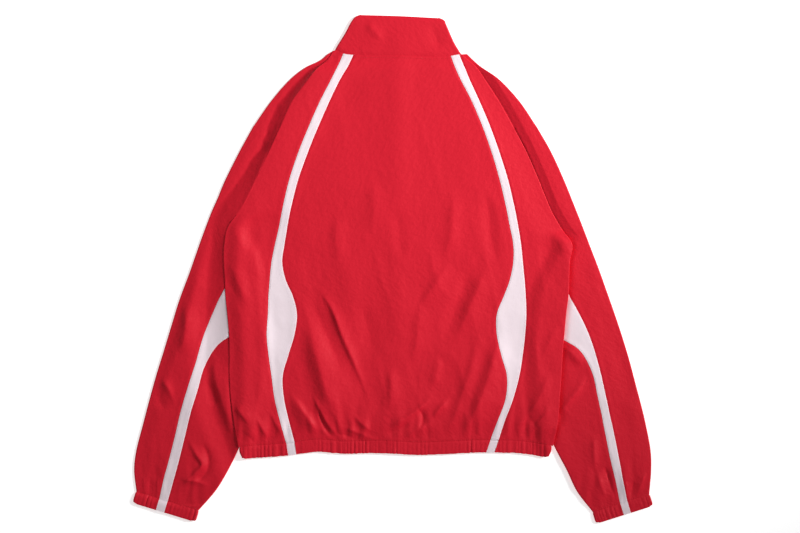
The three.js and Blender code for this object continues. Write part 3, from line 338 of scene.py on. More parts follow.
def creases(x, y, table):
    """Height of the listed creases, each fading at both its ends"""
    height = np.zeros(np.broadcast(x, y).shape)
    x = np.broadcast_to(x, height.shape)
    y = np.broadcast_to(y, height.shape)
    for half_width, rise, lean, squares in table:
        spots = np.array([((a - SHEET_MIDDLE[0]) * SQUARE, (SHEET_MIDDLE[1] - b) * SQUARE) for a, b in squares])
        even = np.linspace(0, len(spots) - 1, 4 * len(spots) - 3)
        line = np.stack([curve(range(len(spots)), spots[:, k])(even) for k in (0, 1)], axis=1)
        reach = 3.2 * half_width
        low = line.min(axis=0) - reach
        high = line.max(axis=0) + reach
        near = (x > low[0]) & (x < high[0]) & (y > low[1]) & (y < high[1])
        if not near.any():
            continue
        px = x[near]
        py = y[near]
        best = np.full(px.shape, 1e9)
        along = np.zeros(px.shape)
        aside = np.zeros(px.shape)
        for i in range(len(line) - 1):
            run = line[i + 1] - line[i]
            length = np.hypot(*run)
            t = np.clip(((px - line[i, 0]) * run[0] + (py - line[i, 1]) * run[1]) / length**2, 0, 1)
            off_x = px - line[i, 0] - t * run[0]
            off_y = py - line[i, 1] - t * run[1]
            distance = np.hypot(off_x, off_y)
            closer = distance < best
            best = np.where(closer, distance, best)
            along = np.where(closer, (i + t) / (len(line) - 1), along)
            aside = np.where(closer, np.sign(off_x * run[1] - off_y * run[0]), aside)
        width = half_width * (1 - lean * aside) * mix(0.7, 1.15, np.sin(np.pi * np.clip(along, 0, 1)))
        ends = smooth(0, 0.35, along) * (1 - smooth(0.62, 1, along))
        across_it = best / width
        crisp = 0.75 if half_width < 8 else 0.3
        form = (1 - crisp) * np.exp(-(across_it**2)) + crisp * np.exp(-1.3 * across_it)
        height[near] += CREASE_DEPTH * rise * ends * form
    return height


def swell(x, y, seed):
    """Loose cloth lying almost flat: long soft waves that run up and down more than across"""
    aside = x + 0.25 * y
    long_waves = 0.8 * drift(aside, y * 0.4, 62, seed) + 0.4 * drift(aside, y * 0.45, 27, seed + 1)
    short_waves = 0.16 * drift(x, y * 0.7, 12, seed + 2)
    broken = 0.5 * (1 - 2.2 * np.abs(drift(aside, y * 0.5, 46, seed + 3)))
    return (long_waves + short_waves + broken) * mix(1, 0.4, smooth(-60, 160, y))


def gathers(x, above, seed):
    """Small pleats that the elastic draws in: narrow grooves at the band, merging and fading away from it"""
    wander = x + 9 * drift(x, above * 0.3, 31, seed) + 3 * drift(x, above * 0.4, 11, seed + 5)
    strength = np.clip(0.88 + 0.8 * drift(x, above * 0.1, 27, seed + 1), 0.3, 1.4)
    grooves = 0.4 - np.exp(-((np.sin(np.pi * wander / 7.6) / 0.5) ** 2))
    grooves = grooves - 0.6 * np.exp(-((np.sin(np.pi * wander / 11.7 + 1) / 0.3) ** 2))
    broad = np.sin(2 * np.pi * wander / 24 + 2.2 * drift(x, above, 60, seed + 3))
    above = np.maximum(above, 0)
    small = 1.1 * grooves * np.exp(-above / 11)
    large = 2.0 * broad * smooth(0, 14, above) * np.exp(-above / 30)
    return strength * (small + large)


def seam_dip(distance):
    """The groove beside a seam, whose turnings lie under the cloth on both sides"""
    return -0.55 * np.exp(-((distance / 1.1) ** 2)) + 0.25 * np.exp(-(((distance - 4.5) / 2.6) ** 2))


def above_cuff(side, x, y):
    """Distance up the sleeve from the cuff's seam"""
    row = SLEEVES[side][-1]
    down_x, down_y = cuff_way(side)
    return -((x - row[2]) * down_x + (y - row[0]) * down_y)


def cuff_way(side):
    """The way down the cuff, square to its opening"""
    row = SLEEVES[side][-1]
    along = Vector((row[5] - row[2], -row[1])).normalized()
    return -along.y * SIGN[side], along.x * SIGN[side]


# How the left sleeve falls away from the body's edge: y, then the width of the fall
FALL_WIDTH = (
    (366, 7), (347, 9), (303, 16), (270, 19), (243, 18), (205, 18), (187, 20), (150, 27), (119, 38), (96, 36), (75, 28),
    (40, 22), (0, 28), (-85, 36), (-150, 40), (-220, 36), (-300, 20),
)


fall_width = curve(*zip(*FALL_WIDTH))


def outside_z(side, x, y):
    """The shoulder and sleeve beyond the body's edge.

    On the left the cloth falls away from the edge to a crease, and on the right it rises from the edge.
    """
    sign = SIGN[side]
    slope = (fold_line[side](y + 4) - fold_line[side](y - 4)) / 8
    out = sign * (x - fold_line[side](y)) / np.hypot(1, slope)
    outer_slope = (outer_line[side](y + 4) - outer_line[side](y - 4)) / 8
    inside = sign * (outer_line[side](y) - x) / np.hypot(1, outer_slope)
    below = below_armpit(side, y)
    start = 1 - smooth(334, 364, y)
    low_end = smooth(-350, -250, y)
    if side == "left":
        ragged = 0.16 * drift(y, 0.3 * x, 23, 5) + 0.08 * drift(y, 0.3 * x, 11, 6)
        width = fall_width(y) * (1 + ragged * (1 - 0.9 * below))
        gone = np.clip(out / width, 0, 1)
        fall = mix(LEFT_FALL, 5.8, below) * (1 - gone) ** mix(1.25, 1.5, below)
        crown = smooth(0, 34, out - width) * (1 + 0.8 * below) - 0.014 * np.maximum(out - width - 20, 0) * below
        puff = 2.2 * crown + 0.5 * smooth(-2, 8, out - width)
        form = start * (fall * mix(0.55, 1, low_end) + puff)
        full = smooth(-2, 24, inside)
    else:
        rise = np.interp(out, (0, 3, 15, 24, 60, 120), (0, 1.3, 4.6, 5.0, 5.4, 6.2))
        rise = mix(rise, np.interp(out, (0, 2, 9, 40, 80, 130), (0, 1.8, 2.6, 3.7, 4.8, 5.9)), below)
        form = start * rise
        full = smooth(-2, 0.5, inside)
    loose = creases(x, y, SLEEVE_CREASES) + 0.8 * swell(x, y, 31 if side == "left" else 47)
    loose = loose + 0.8 * gathers(x + 300 * sign, above_cuff(side, x, y), 81)
    loose = loose * smooth(-2, 16, inside)
    full = full * (1 if side == "left" else mix(1, smooth(-3, 8, out), below))
    cuff_ease = mix(0.25, 1, smooth(0, 60, above_cuff(side, x, y)))
    tucked = 1.7 * np.clip(-out / 2, 0, 1) * (1 - below)
    joined = smooth(-1.5, 1, out) if side == "right" else mix(1, smooth(-1.2, -0.2, out), below)
    return SLEEVE_TOP + np.maximum((form + loose * smooth(-3, 8, out)) * full * cuff_ease, -0.5) * joined - tucked


def edge_height(side, x, y):
    """Height of the back's own edge above the armpit: level with the left shoulder, sunk beside the right one"""
    start = 1 - smooth(334, 364, y)
    return SLEEVE_TOP + start * (LEFT_FALL if side == "left" else 0.4)


def back_z(x, y):
    """Middle of the back's cloth"""
    front = front_z(x, y)
    hem = hem_line(x) + HEM_HEIGHT
    above = y - hem
    off_hem = smooth(0, 34, above)
    off_neck = smooth(0, 26, NECK_SEAM - y)
    lip = 1.6 * smooth(0, 40, above) * (1 - smooth(50, 190, above))
    for side, sign in SIGN.items():
        inward = sign * (fold_line[side](y) - x)
        span = (1 - smooth(330, 362, y)) * (1 - below_armpit(side, y))
        under = below_armpit(side, y) * off_hem
        if side == "left":
            lip = lip + (LEFT_FALL - 3.3) * (1 - smooth(0, 96, inward)) * span
            hump = 2.4 * np.exp(-(((inward - 24) / 16) ** 2)) - 1.2 * (1 - smooth(0, 26, inward))
            lip = lip + hump * under
        else:
            sunk = 1 - 0.9 * (1 - smooth(0, 56, inward)) * span
            lip = lip + 1.8 * (1 - smooth(0, 46, inward)) * under
    loose = creases(x, y, BODY_CREASES) + swell(x, y, 11) + gathers(x, above, 21) * 0.9
    settled = front + CLOTH + LAYER_GAP + over_zip(x, y) + (1 - off_hem) + lip
    height = settled + (LOFT + loose) * mix(0.35, 1, off_hem) * mix(0.2, 1, off_neck) * sunk
    lowest = front + CLOTH + 0.8 + 0.6 * over_zip(x, y)
    return lowest + 0.9 * np.logaddexp(0, (height - lowest) / 0.9)


def body_place(level, x, dip, hem_ease):
    """Where a point of the body's net lies on the floor plan"""
    last = len(BODY_LINES) - 1
    y = body_at["y"](level)
    neck = neck_line(x) + 0.7 - NECK_SEAM
    hem = hem_line(x) + HEM_HEIGHT + hem_ease - HEM_SEAM
    lowered = dip * np.maximum(0, y - SHOULDER_SEAM) / (NECK_SEAM - SHOULDER_SEAM)
    return y + neck * np.maximum(0, 1 - level) ** 2 + hem * smooth(last - 2, last, level) - lowered


def even_levels(y_of_level, last, step, gathered=110, closer=0.6):
    """Levels whose rows lie evenly along the length, and closer above the gathered end"""
    fine = np.linspace(0, last, 600)
    y = y_of_level(fine)
    start = y[-1] + gathered
    plain = np.linspace(y[0], start, int((y[0] - start) / step) + 1)
    close = np.linspace(start, y[-1], int(gathered / (step * closer)) + 1)[1:]
    return np.interp(np.concatenate([plain, close]), y[::-1], fine[::-1])


def across(count, edge=(0, 0.003, 0.008, 0.016), both=True):
    """Places across a panel, close together beside its seams"""
    edge = np.array(edge)
    if not both:
        return np.concatenate([edge, np.linspace(edge[-1], 1, count + 1)[1:]])
    middle = np.linspace(edge[-1], 1 - edge[-1], count + 1)[1:-1]
    return np.concatenate([edge, middle, 1 - edge[::-1]])


def lengths(x, y, z, axis):
    """Distance along the cloth, row by row or column by column"""
    steps = np.sqrt(np.diff(x, axis=axis) ** 2 + np.diff(y, axis=axis) ** 2 + np.diff(z, axis=axis) ** 2)
    start = np.zeros_like(np.take(x, [0], axis=axis))
    return np.concatenate([start, np.cumsum(steps, axis=axis)], axis=axis)


def flat_cut(nets, gathered):
    """Width, length and area of the cut in metres: its longest row, its longest column and all its faces"""
    area = 0
    for net in nets:
        spots = np.stack(net, axis=2)
        faces = np.cross(spots[1:, 1:] - spots[:-1, :-1], spots[1:, :-1] - spots[:-1, 1:])
        area += np.linalg.norm(faces, axis=2).sum() / 2
    rows = [lengths(*net, 1)[:, -1] for net in nets]
    beside = rows[0][: len(rows[1])] + rows[1] if len(nets) > 1 else rows[0]
    width = max(rows[0].max(), beside.max())
    length = lengths(*nets[0], 0)[-1].max()
    return width * gathered * MM, length * MM, area * gathered * MM * MM


def cloth(
    name, nets, node, body, material, faces_up=True, thickness=SHELL, gathered=1.0
):
    """A thin shell of cloth through one or two nets of points, with a map of its real size for the weave"""
    shell = bmesh.new()
    map_layer = shell.loops.layers.uv.new("cloth")
    places = []
    for x, y, z in nets:
        rows, columns = x.shape
        bmesh.ops.create_grid(shell, x_segments=columns - 1, y_segments=rows - 1, size=0.5)
        places.append(np.stack([x, y, z], axis=2).reshape(-1, 3))
    mesh = bpy.data.meshes.new(name)
    shell.to_mesh(mesh)
    shell.free()
    points = np.concatenate(places) * MM
    mesh.vertices.foreach_set("co", points.ravel())
    corners = np.empty(len(mesh.loops), dtype=np.int32)
    mesh.loops.foreach_get("vertex_index", corners)
    spots = np.concatenate(
        [np.stack([lengths(x, y, z, 1), y], axis=2).reshape(-1, 2) for x, y, z in nets]
    )
    mesh.uv_layers["cloth"].data.foreach_set("uv", (spots[corners] * MM).ravel())
    mesh.update()
    mesh.polygons.foreach_set("use_smooth", np.ones(len(mesh.polygons), dtype=bool))
    if (mesh.polygons[len(mesh.polygons) // 2 if nets[0][0].shape[1] < 3 else 0].normal.z > 0) != faces_up:
        mesh.flip_normals()
    if len(nets) > 1:
        joined = bmesh.new()
        joined.from_mesh(mesh)
        bmesh.ops.remove_doubles(joined, verts=joined.verts[:], dist=2e-5)
        joined.to_mesh(mesh)
        joined.free()
    piece = bpy.data.objects.new(name, mesh)
    bpy.context.scene.collection.objects.link(piece)
    wall = piece.modifiers.new("thickness of the cloth", "SOLIDIFY")
    wall.thickness = thickness * MM
    wall.offset = 0
    mesh.materials.append(material)
    piece.data = bpy.data.meshes.new_from_object(piece.evaluated_get(bpy.context.evaluated_depsgraph_get()))
    piece.data.name = name
    piece.data.set_sharp_from_angle(angle=np.radians(50))
    piece.modifiers.clear()
    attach(piece, body)
    if node:
        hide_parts(*([node] if isinstance(node, str) else node))
    width, length, area = flat_cut(nets, gathered)
    return piece


def nylon(name, colour, shade, roughness, sheen, crinkle, shine=0.2, on="UV"):
    """Woven cloth: fine threads, crinkles of two sizes and a little change of colour"""
    material = bpy.data.materials.new(name)
    material.use_nodes = True
    nodes = material.node_tree.nodes
    links = material.node_tree.links
    surface = nodes["Principled BSDF"]
    surface.inputs["Roughness"].default_value = roughness
    surface.inputs["Sheen Weight"].default_value = sheen
    surface.inputs["Sheen Roughness"].default_value = 0.35
    surface.inputs["Specular IOR Level"].default_value = shine
    place = nodes.new("ShaderNodeTexCoord")
    cloud = nodes.new("ShaderNodeTexNoise")
    cloud.inputs["Scale"].default_value = 9
    cloud.inputs["Detail"].default_value = 3
    links.new(place.outputs[on], cloud.inputs["Vector"])
    tint = nodes.new("ShaderNodeMix")
    tint.data_type = "RGBA"
    tint.inputs[6].default_value = (*colour, 1)
    tint.inputs[7].default_value = (*shade, 1)
    links.new(cloud.outputs["Fac"], tint.inputs[0])
    links.new(tint.outputs[2], surface.inputs["Base Color"])
    threads = []
    for direction in ("X", "Y"):
        wave = nodes.new("ShaderNodeTexWave")
        wave.bands_direction = direction
        wave.inputs["Scale"].default_value = 900
        wave.inputs["Distortion"].default_value = 0.6
        wave.inputs["Detail"].default_value = 1
        links.new(place.outputs[on], wave.inputs["Vector"])
        threads.append(wave)
    weave = nodes.new("ShaderNodeMath")
    weave.operation = "ADD"
    links.new(threads[0].outputs["Fac"], weave.inputs[0])
    links.new(threads[1].outputs["Fac"], weave.inputs[1])
    fine = nodes.new("ShaderNodeBump")
    fine.inputs["Strength"].default_value = 0.12
    fine.inputs["Distance"].default_value = 0.00006
    links.new(weave.outputs["Value"], fine.inputs["Height"])
    crumple = nodes.new("ShaderNodeTexNoise")
    crumple.inputs["Scale"].default_value = 120
    crumple.inputs["Detail"].default_value = 4
    crumple.inputs["Roughness"].default_value = 0.55
    links.new(place.outputs[on], crumple.inputs["Vector"])
    soft = nodes.new("ShaderNodeBump")
    soft.inputs["Strength"].default_value = crinkle
    soft.inputs["Distance"].default_value = 0.001
    links.new(crumple.outputs["Fac"], soft.inputs["Height"])
    links.new(fine.outputs["Normal"], soft.inputs["Normal"])
    ridges = nodes.new("ShaderNodeTexNoise")
    ridges.noise_type = "RIDGED_MULTIFRACTAL"
    ridges.inputs["Scale"].default_value = 26
    ridges.inputs["Detail"].default_value = 2
    ridges.inputs["Distortion"].default_value = 0.6
    links.new(place.outputs[on], ridges.inputs["Vector"])
    handled = nodes.new("ShaderNodeBump")
    handled.inputs["Strength"].default_value = crinkle * 0.5
    handled.inputs["Distance"].default_value = 0.001
    links.new(ridges.outputs["Fac"], handled.inputs["Height"])
    links.new(soft.outputs["Normal"], handled.inputs["Normal"])
    links.new(handled.outputs["Normal"], surface.inputs["Normal"])
    return material


def hard(name, paint, worn, metallic, roughness):
    """Coloured metal or plastic with a fine orange peel, paler where it has been handled"""
    material = bpy.data.materials.new(name)
    material.use_nodes = True
    nodes = material.node_tree.nodes
    links = material.node_tree.links
    surface = nodes["Principled BSDF"]
    surface.inputs["Metallic"].default_value = metallic
    place = nodes.new("ShaderNodeTexCoord")
    rubbed = nodes.new("ShaderNodeTexNoise")
    rubbed.inputs["Scale"].default_value = 320
    rubbed.inputs["Detail"].default_value = 4
    links.new(place.outputs["Object"], rubbed.inputs["Vector"])
    tint = nodes.new("ShaderNodeMix")
    tint.data_type = "RGBA"
    tint.inputs[6].default_value = (*paint, 1)
    tint.inputs[7].default_value = (*worn, 1)
    links.new(rubbed.outputs["Fac"], tint.inputs[0])
    links.new(tint.outputs[2], surface.inputs["Base Color"])
    gloss = nodes.new("ShaderNodeMapRange")
    gloss.inputs["To Min"].default_value = roughness - 0.12
    gloss.inputs["To Max"].default_value = roughness + 0.14
    links.new(rubbed.outputs["Fac"], gloss.inputs["Value"])
    links.new(gloss.outputs["Result"], surface.inputs["Roughness"])
    peel = nodes.new("ShaderNodeBump")
    peel.inputs["Strength"].default_value = 0.15
    peel.inputs["Distance"].default_value = 0.0001
    links.new(rubbed.outputs["Fac"], peel.inputs["Height"])
    links.new(peel.outputs["Normal"], surface.inputs["Normal"])
    return material


RED = nylon("red nylon shell", (0.71, 0.0085, 0.028), (0.66, 0.0075, 0.024), 0.56, 0.03, 0.75)
WHITE = nylon("white woven tape", (0.93, 0.79, 0.845), (0.9, 0.76, 0.81), 0.62, 0.1, 0.25)
TAPE_RED = nylon("red zip tape", (0.42, 0.012, 0.022), (0.36, 0.01, 0.018), 0.75, 0.05, 0.2, on="Object")
THREAD = nylon("red sewing thread", (0.5, 0.005, 0.012), (0.44, 0.004, 0.01), 0.6, 0.2, 0.1, on="Object")
WHITE_THREAD = nylon("white sewing thread", (0.86, 0.72, 0.77), (0.8, 0.66, 0.71), 0.6, 0.2, 0.1, on="Object")
TEETH = hard("red moulded teeth", (0.4, 0.008, 0.018), (0.46, 0.02, 0.03), 0.0, 0.42)
METAL = hard("red painted metal", (0.42, 0.008, 0.018), (0.55, 0.2, 0.2), 0.55, 0.38)

ARC = np.linspace(0, np.pi / 2, 6)[1:]


def rounded(start, end, end_z):
    """Columns that carry a net round the edge of a layer, from its last column to the seam in the fold"""
    columns = []
    for angle in ARC:
        t = np.sin(angle)
        x = mix(start[0], end[0], t)
        y = mix(start[1], end[1], t)
        z = start[2] + (end_z - start[2]) * (1 - np.cos(angle))
        columns.append((x, y, z))
    return columns


def with_columns(net, columns):
    """The net with more columns after its last"""
    return tuple(np.concatenate([net[k], np.stack([c[k] for c in columns], axis=1)], axis=1) for k in range(3))


body_levels = even_levels(body_at["y"], len(BODY_LINES) - 1, 3.8)


def back_centre():
    t = across(184)
    level = body_levels[:, None] + 0 * t[None, :]
    x = mix(body_at["in_left"](level), body_at["in_right"](level), t)
    y = body_place(level, x, 0, 0.8)
    edge = np.minimum(x - body_at["in_left"](level), body_at["in_right"](level) - x)
    z = back_z(x, y) + 0.7 * seam_dip(edge) + 0.4 * seam_dip(y - hem_line(x) - HEM_HEIGHT - 0.8)
    return cloth("back_panel_centre", [(x, y, z)], "back_centre", "jacket", RED)


def back_tape(side):
    t = across(10, (0, 0.02, 0.06, 0.12))
    level = body_levels[:, None] + 0 * t[None, :]
    outer = body_at["out_" + side](level)
    inner = body_at["in_" + side](level)
    x = mix(outer, inner, t)
    y = body_place(level, x, 0, 0.8)
    foot = np.array([0.04, 0.08, 0.14, 0.25, 0.4, 0.55, 0.7, 0.85, 1.0])[:, None] + 0 * t[None, :]
    foot_x = x[-1:, :] + FOOT_SLANT[side] * foot
    foot_y = mix(y[-1:, :] + 0 * foot, hem_line(foot_x), foot)
    x = np.concatenate([x, foot_x])
    y = np.concatenate([y, foot_y])
    width = np.abs(outer - inner)
    width = np.concatenate([width, width[-1:, :] + 0 * foot])
    edge = np.minimum(t, 1 - t)[None, :] * width
    on_band = smooth(-1, 3, hem_line(x) + HEM_HEIGHT - y)
    z = mix(back_z(x, y), hem_back_z(x, y) + CASING / 2 - SHELL / 2 - 0.2, on_band) + 0.3 + 0.4 * seam_dip(edge)
    z = z + 1.5 * seam_dip(y - hem_line(x) - HEM_HEIGHT)
    return cloth(
        f"back_tape_{side}_cloth", [(x, y, z)], f"back_tape_{side}", "jacket", WHITE,
    )


def side_edge(side, layer, x, y):
    """Height at which the edge of the body's back or front ends"""
    front = front_z(x, y)
    sign = 1 if layer == "back" else -1
    side_seam = front + (CLOTH + LAYER_GAP + sign * 0.7) / 2
    if side == "left":
        side_seam = np.maximum(side_seam, outside_z(side, fold_line[side](y) - 1.2, y) + 0.7 + sign * 0.35)
    else:
        side_seam = np.maximum(side_seam, back_z(fold_line[side](y) - 1.5, y) - 0.75 + sign * 0.35)
    if layer == "back":
        level_edge = np.maximum(edge_height(side, x, y), back_z(x - SIGN[side] * 2, y) - 0.8)
        above = level_edge if side == "left" else edge_height(side, x, y) + 0.25
    else:
        above = FLOOR_LAYER
    return mix(above, side_seam, below_armpit(side, y))


def back_side(side):
    sign = SIGN[side]
    t = across(44, (0, 0.008, 0.02, 0.045), both=False)
    level = body_levels[:, None] + 0 * t[None, :]
    inner = body_at["out_" + side](level)
    fold = body_at["fold_" + side](level)
    reach = 2.0 if side == "left" else 0.9
    x = mix(inner, fold - sign * reach, t)
    y = body_place(level, x, 0, 0.8)
    z = back_z(x, y) + 0.7 * seam_dip(np.abs(x - inner)) + 0.4 * seam_dip(y - hem_line(x) - HEM_HEIGHT - 0.8)
    end_x = fold[:, -1]
    end_y = body_place(body_levels, end_x, 0, 0.8)
    end_z = side_edge(side, "back", end_x, end_y)
    start = (x[:, -1], y[:, -1], z[:, -1])
    main = with_columns((x, y, z), rounded(start, (end_x, end_y), end_z))
    levels = np.append(body_levels[body_levels < 3.98], 4.0)
    u = np.linspace(0, 1, 26)
    reach = 1.8 if side == "left" else 1.0
    level = levels[:, None] + 0 * u[None, :]
    start_x = body_at["fold_" + side](level)
    outline = shoulder_at[side](level)
    x = mix(start_x, outline - sign * reach, u)
    y = body_place(level, x, 0, 0.8)
    z = outside_z(side, x, y)
    z[:, 0] = np.interp(y[:, 0], end_y[::-1], end_z[::-1])
    end_x = outline[:, -1]
    end_y = body_place(levels, end_x, 0, 0.8)
    start = (x[:, -1], y[:, -1], z[:, -1])
    shoulder = with_columns((x, y, z), rounded(start, (end_x, end_y), FLOOR_LAYER + 1.6))
    return cloth(
        f"back_side_{side}_cloth", [main, shoulder], f"back_side_{side}", "jacket", RED,
    )


def underside_ripple(x, y, seed):
    """Soft creases of the layers that lie on the floor: they only rise from it"""
    return 0.9 * np.maximum(drift(x, y * 0.5, 34, seed), 0) + 0.5 * np.maximum(drift(x * 0.6, y, 21, seed + 1), 0)


def front_panel(side):
    sign = SIGN[side]
    levels = even_levels(body_at["y"], len(BODY_LINES) - 1, 5)
    t = across(58, (0, 0.004, 0.012), both=False)
    level = levels[:, None] + 0 * t[None, :]
    slot = zip_x(body_at["y"](level)) + sign * ZIP_SLOT / 2
    fold = body_at["fold_" + side](level)
    reach = 1.0
    x = mix(slot, fold - sign * reach, t)
    y = body_place(level, x, scoop(x), 2)
    flat = smooth(0, 14, np.abs(x - slot)) * smooth(0, 20, y - HEM_SEAM)
    z = front_z(x, y) + 0.8 * underside_ripple(x, y, 61) * flat * (1 - 0.6 * below_armpit(side, y) * smooth(60, 0, np.abs(x - fold)))
    end_x = fold[:, -1]
    end_y = body_place(levels, end_x, scoop(end_x), 2)
    end_z = side_edge(side, "front", end_x, end_y)
    start = (x[:, -1], y[:, -1], z[:, -1])
    main = with_columns((x, y, z), rounded(start, (end_x, end_y), end_z))
    top = np.append(levels[levels < 3.98], 4.0)
    u = np.linspace(0, 1, 10)
    level = top[:, None] + 0 * u[None, :]
    start_x = body_at["fold_" + side](level)
    outline = shoulder_at[side](level)
    x = mix(start_x, outline - sign * reach, u)
    y = body_place(level, x, scoop(x), 2)
    z = FLOOR_LAYER + 0 * x
    end_x = outline[:, -1]
    end_y = body_place(top, end_x, scoop(end_x), 2)
    start = (x[:, -1], y[:, -1], z[:, -1])
    shoulder = with_columns((x, y, z), rounded(start, (end_x, end_y), FLOOR_LAYER + 1.0))
    return cloth(
        f"front_{side}_cloth", [main, shoulder], f"front_{side}", "jacket", RED,
        faces_up=False,
    )


# Hem band
def hem_front_z(x, y):
    return front_z(x, y) + (CASING - CLOTH) / 2


def hem_back_z(x, y):
    return hem_front_z(x, y) + CASING + CASING_GAP + over_zip(x, y)


def hem_piece(name, node, from_x, to_x, back, end=None, slants=(0, 0)):
    sign = np.sign(to_x - from_x)
    count = int(abs(to_x - from_x) / (1.5 if back else 5)) + 2
    v = np.array([0.0, 0.02, 0.06, 0.14, 0.26, 0.4, 0.55, 0.7, 0.82, 0.92, 0.98, 1.0])
    slant = 0 if end is None else -sign * 4.2 * smooth(0.25, 1, v[:, None])
    t = np.linspace(0, 1, count)[None, :]
    x = mix(from_x + slants[0] * v[:, None], to_x + slants[1] * v[:, None] + slant, t)
    y = hem_line(x) + HEM_HEIGHT * (1 - v[:, None]) + (1 - v[:, None]) * 0.8
    if end is not None:
        y = y + CORNER * v[:, None] ** 3 * smooth(7, 0, np.abs(end + slant - x))
    y = y + (0.35 * drift(x, 0 * x, 7, 29) - 0.35 * gathers(x, 0 * x, 21)) * v[:, None] ** 4 * back
    crown = (1 - (2 * v[:, None] - 1) ** 6) * 0.5
    if back:
        wave = gathers(x, 0 * x, 21) * 0.62
        band = hem_back_z(x, y) + crown + 0.2 + wave
        panel = back_z(x, hem_line(x) + HEM_HEIGHT + 0 * y)
        z = mix(panel - 0.45, band, smooth(0, 0.22, v[:, None] + 0 * x)) + 0.5 * seam_dip(v[:, None] * HEM_HEIGHT)
    else:
        z = hem_front_z(x, y) - 0.2 + 0 * crown
    net = (x, y, z)
    if end is not None:
        end_x = end + (slant[:, 0] if np.ndim(slant) else 0) + 0 * v
        end_y = hem_line(end_x) + HEM_HEIGHT * (1 - v) + CORNER * v**3
        end_z = hem_front_z(end_x, end_y) + (CASING / 2 + 1 if back else 0.3)
        net = with_columns(net, rounded((x[:, -1], y[:, -1], z[:, -1]), (end_x, end_y), end_z))
    return cloth(
        name, [net], node, "jacket", RED, faces_up=back, thickness=1.8,
        gathered=1.25,
    )


def hem_band():
    foot = {name: float(body_at[name](len(BODY_LINES) - 1)) for name in BODY_NAMES}
    slants = (FOOT_SLANT["left"], FOOT_SLANT["right"])
    centre = hem_piece(
        "hem_band_back_centre", "hem_back_centre", foot["in_left"], foot["in_right"], True, slants=slants
    )
    pieces = [centre]
    for side, sign in SIGN.items():
        end = foot["fold_" + side] - sign * 3
        inside = end - sign * 2.2
        out = foot["out_" + side]
        slot = float(zip_x(HEM_SEAM)) + sign * ZIP_SLOT / 2
        slants = (FOOT_SLANT[side], 0)
        pieces.append(hem_piece(f"hem_band_back_{side}", f"hem_back_{side}", out, inside, True, end, slants))
        pieces.append(hem_piece(f"hem_band_front_{side}", f"hem_front_{side}", slot, inside, False, end))
    return pieces


# Sleeves: places across a section count from the outer fold at 0 to the inner edge at 1
def section(side, level):
    row = {name: read(level) for name, read in sleeve_at[side].items()}
    width = np.hypot(row["inner"] - row["outer"], row["drop"])

    def place(t):
        return mix(row["outer"], row["inner"], t), row["y"] - row["drop"] * t

    def share(x):
        return (x - row["outer"]) / (row["inner"] - row["outer"])

    return row, width, place, share


def round_fold(place, side, inner, reach, downwards):
    """Columns round the outer or the underarm fold of a sleeve, from the top layer to the low one or back"""
    angles = np.linspace(0, np.pi, 12)[1:-1]
    if not downwards:
        angles = angles[::-1]
    inside = 1 - reach if inner else reach
    columns = []
    for angle in angles:
        t = inside + (reach if inner else -reach) * np.sin(angle)
        x, y = place(t)
        in_x, in_y = place(inside)
        top = outside_z(side, in_x, in_y)
        middle = (top + FLOOR_LAYER) / 2
        columns.append((x, y, middle + (top - FLOOR_LAYER) / 2 * np.cos(angle)))
    return columns


def low_layer(x, y, side):
    return FLOOR_LAYER + 0.7 * underside_ripple(x, y, 71)


sleeve_levels = {side: even_levels(sleeve_at[side]["y"], len(SLEEVES[side]) - 1, 3.2) for side in SIGN}


def stack(columns):
    return tuple(np.stack([c[k] for c in columns], axis=1) for k in range(3))


def by_the_body(side, level, places, low, high):
    """Draw a sleeve's columns together where the body's edge crosses them, to give it a crisp line"""
    row, width, place, share = section(side, level)
    edge = np.ones_like(level)
    for _ in range(6):
        edge = share(fold_line[side](place(edge)[1]))
    room = np.minimum(edge - low, high - edge) * width
    pull = 0.88 * smooth(2, 14, room)
    moved = []
    for at in places:
        off = at - edge
        moved.append(np.clip(edge + off * (1 - pull * np.exp(-((off * width / 6) ** 2))), low, high))
    return moved


def under_seam(side, level):
    return np.where(level <= 4.0, 1.0, mix(0.93, 0.72, smooth(4.35, 7, level)))


def sleeve_upper(side):
    level = sleeve_levels[side]
    row, width, place, share = section(side, level)
    reach = (1.8 if side == "left" else 1.0) / width
    tuck = 5 / width * smooth(0.5, 3, level) * (1 - smooth(4.05, 4.5, level))
    white = np.minimum(share(row["white_out"]), 1 - 0.3 / width) + tuck
    columns = []
    places = [mix(white, reach, t) for t in across(40, (0, 0.01, 0.03, 0.06), both=False)]
    for at in by_the_body(side, level, places, reach, white):
        x, y = place(at)
        z = outside_z(side, x, y) + 0.7 * seam_dip((white - at) * width)
        columns.append((x, y, z))
    columns += round_fold(place, side, False, reach, True)
    for t in np.linspace(0, 1, 22):
        x, y = place(mix(reach, under_seam(side, level), t))
        lift = smooth(0, 0.1, t) * smooth(0, 0.08, 1 - t)
        columns.append((x, y, mix(FLOOR_LAYER, low_layer(x, y, side), lift)))
    net = stack(columns)
    return cloth(
        f"sleeve_upper_{side}_cloth", [net], f"sleeve_upper_{side}", "jacket", RED
    )


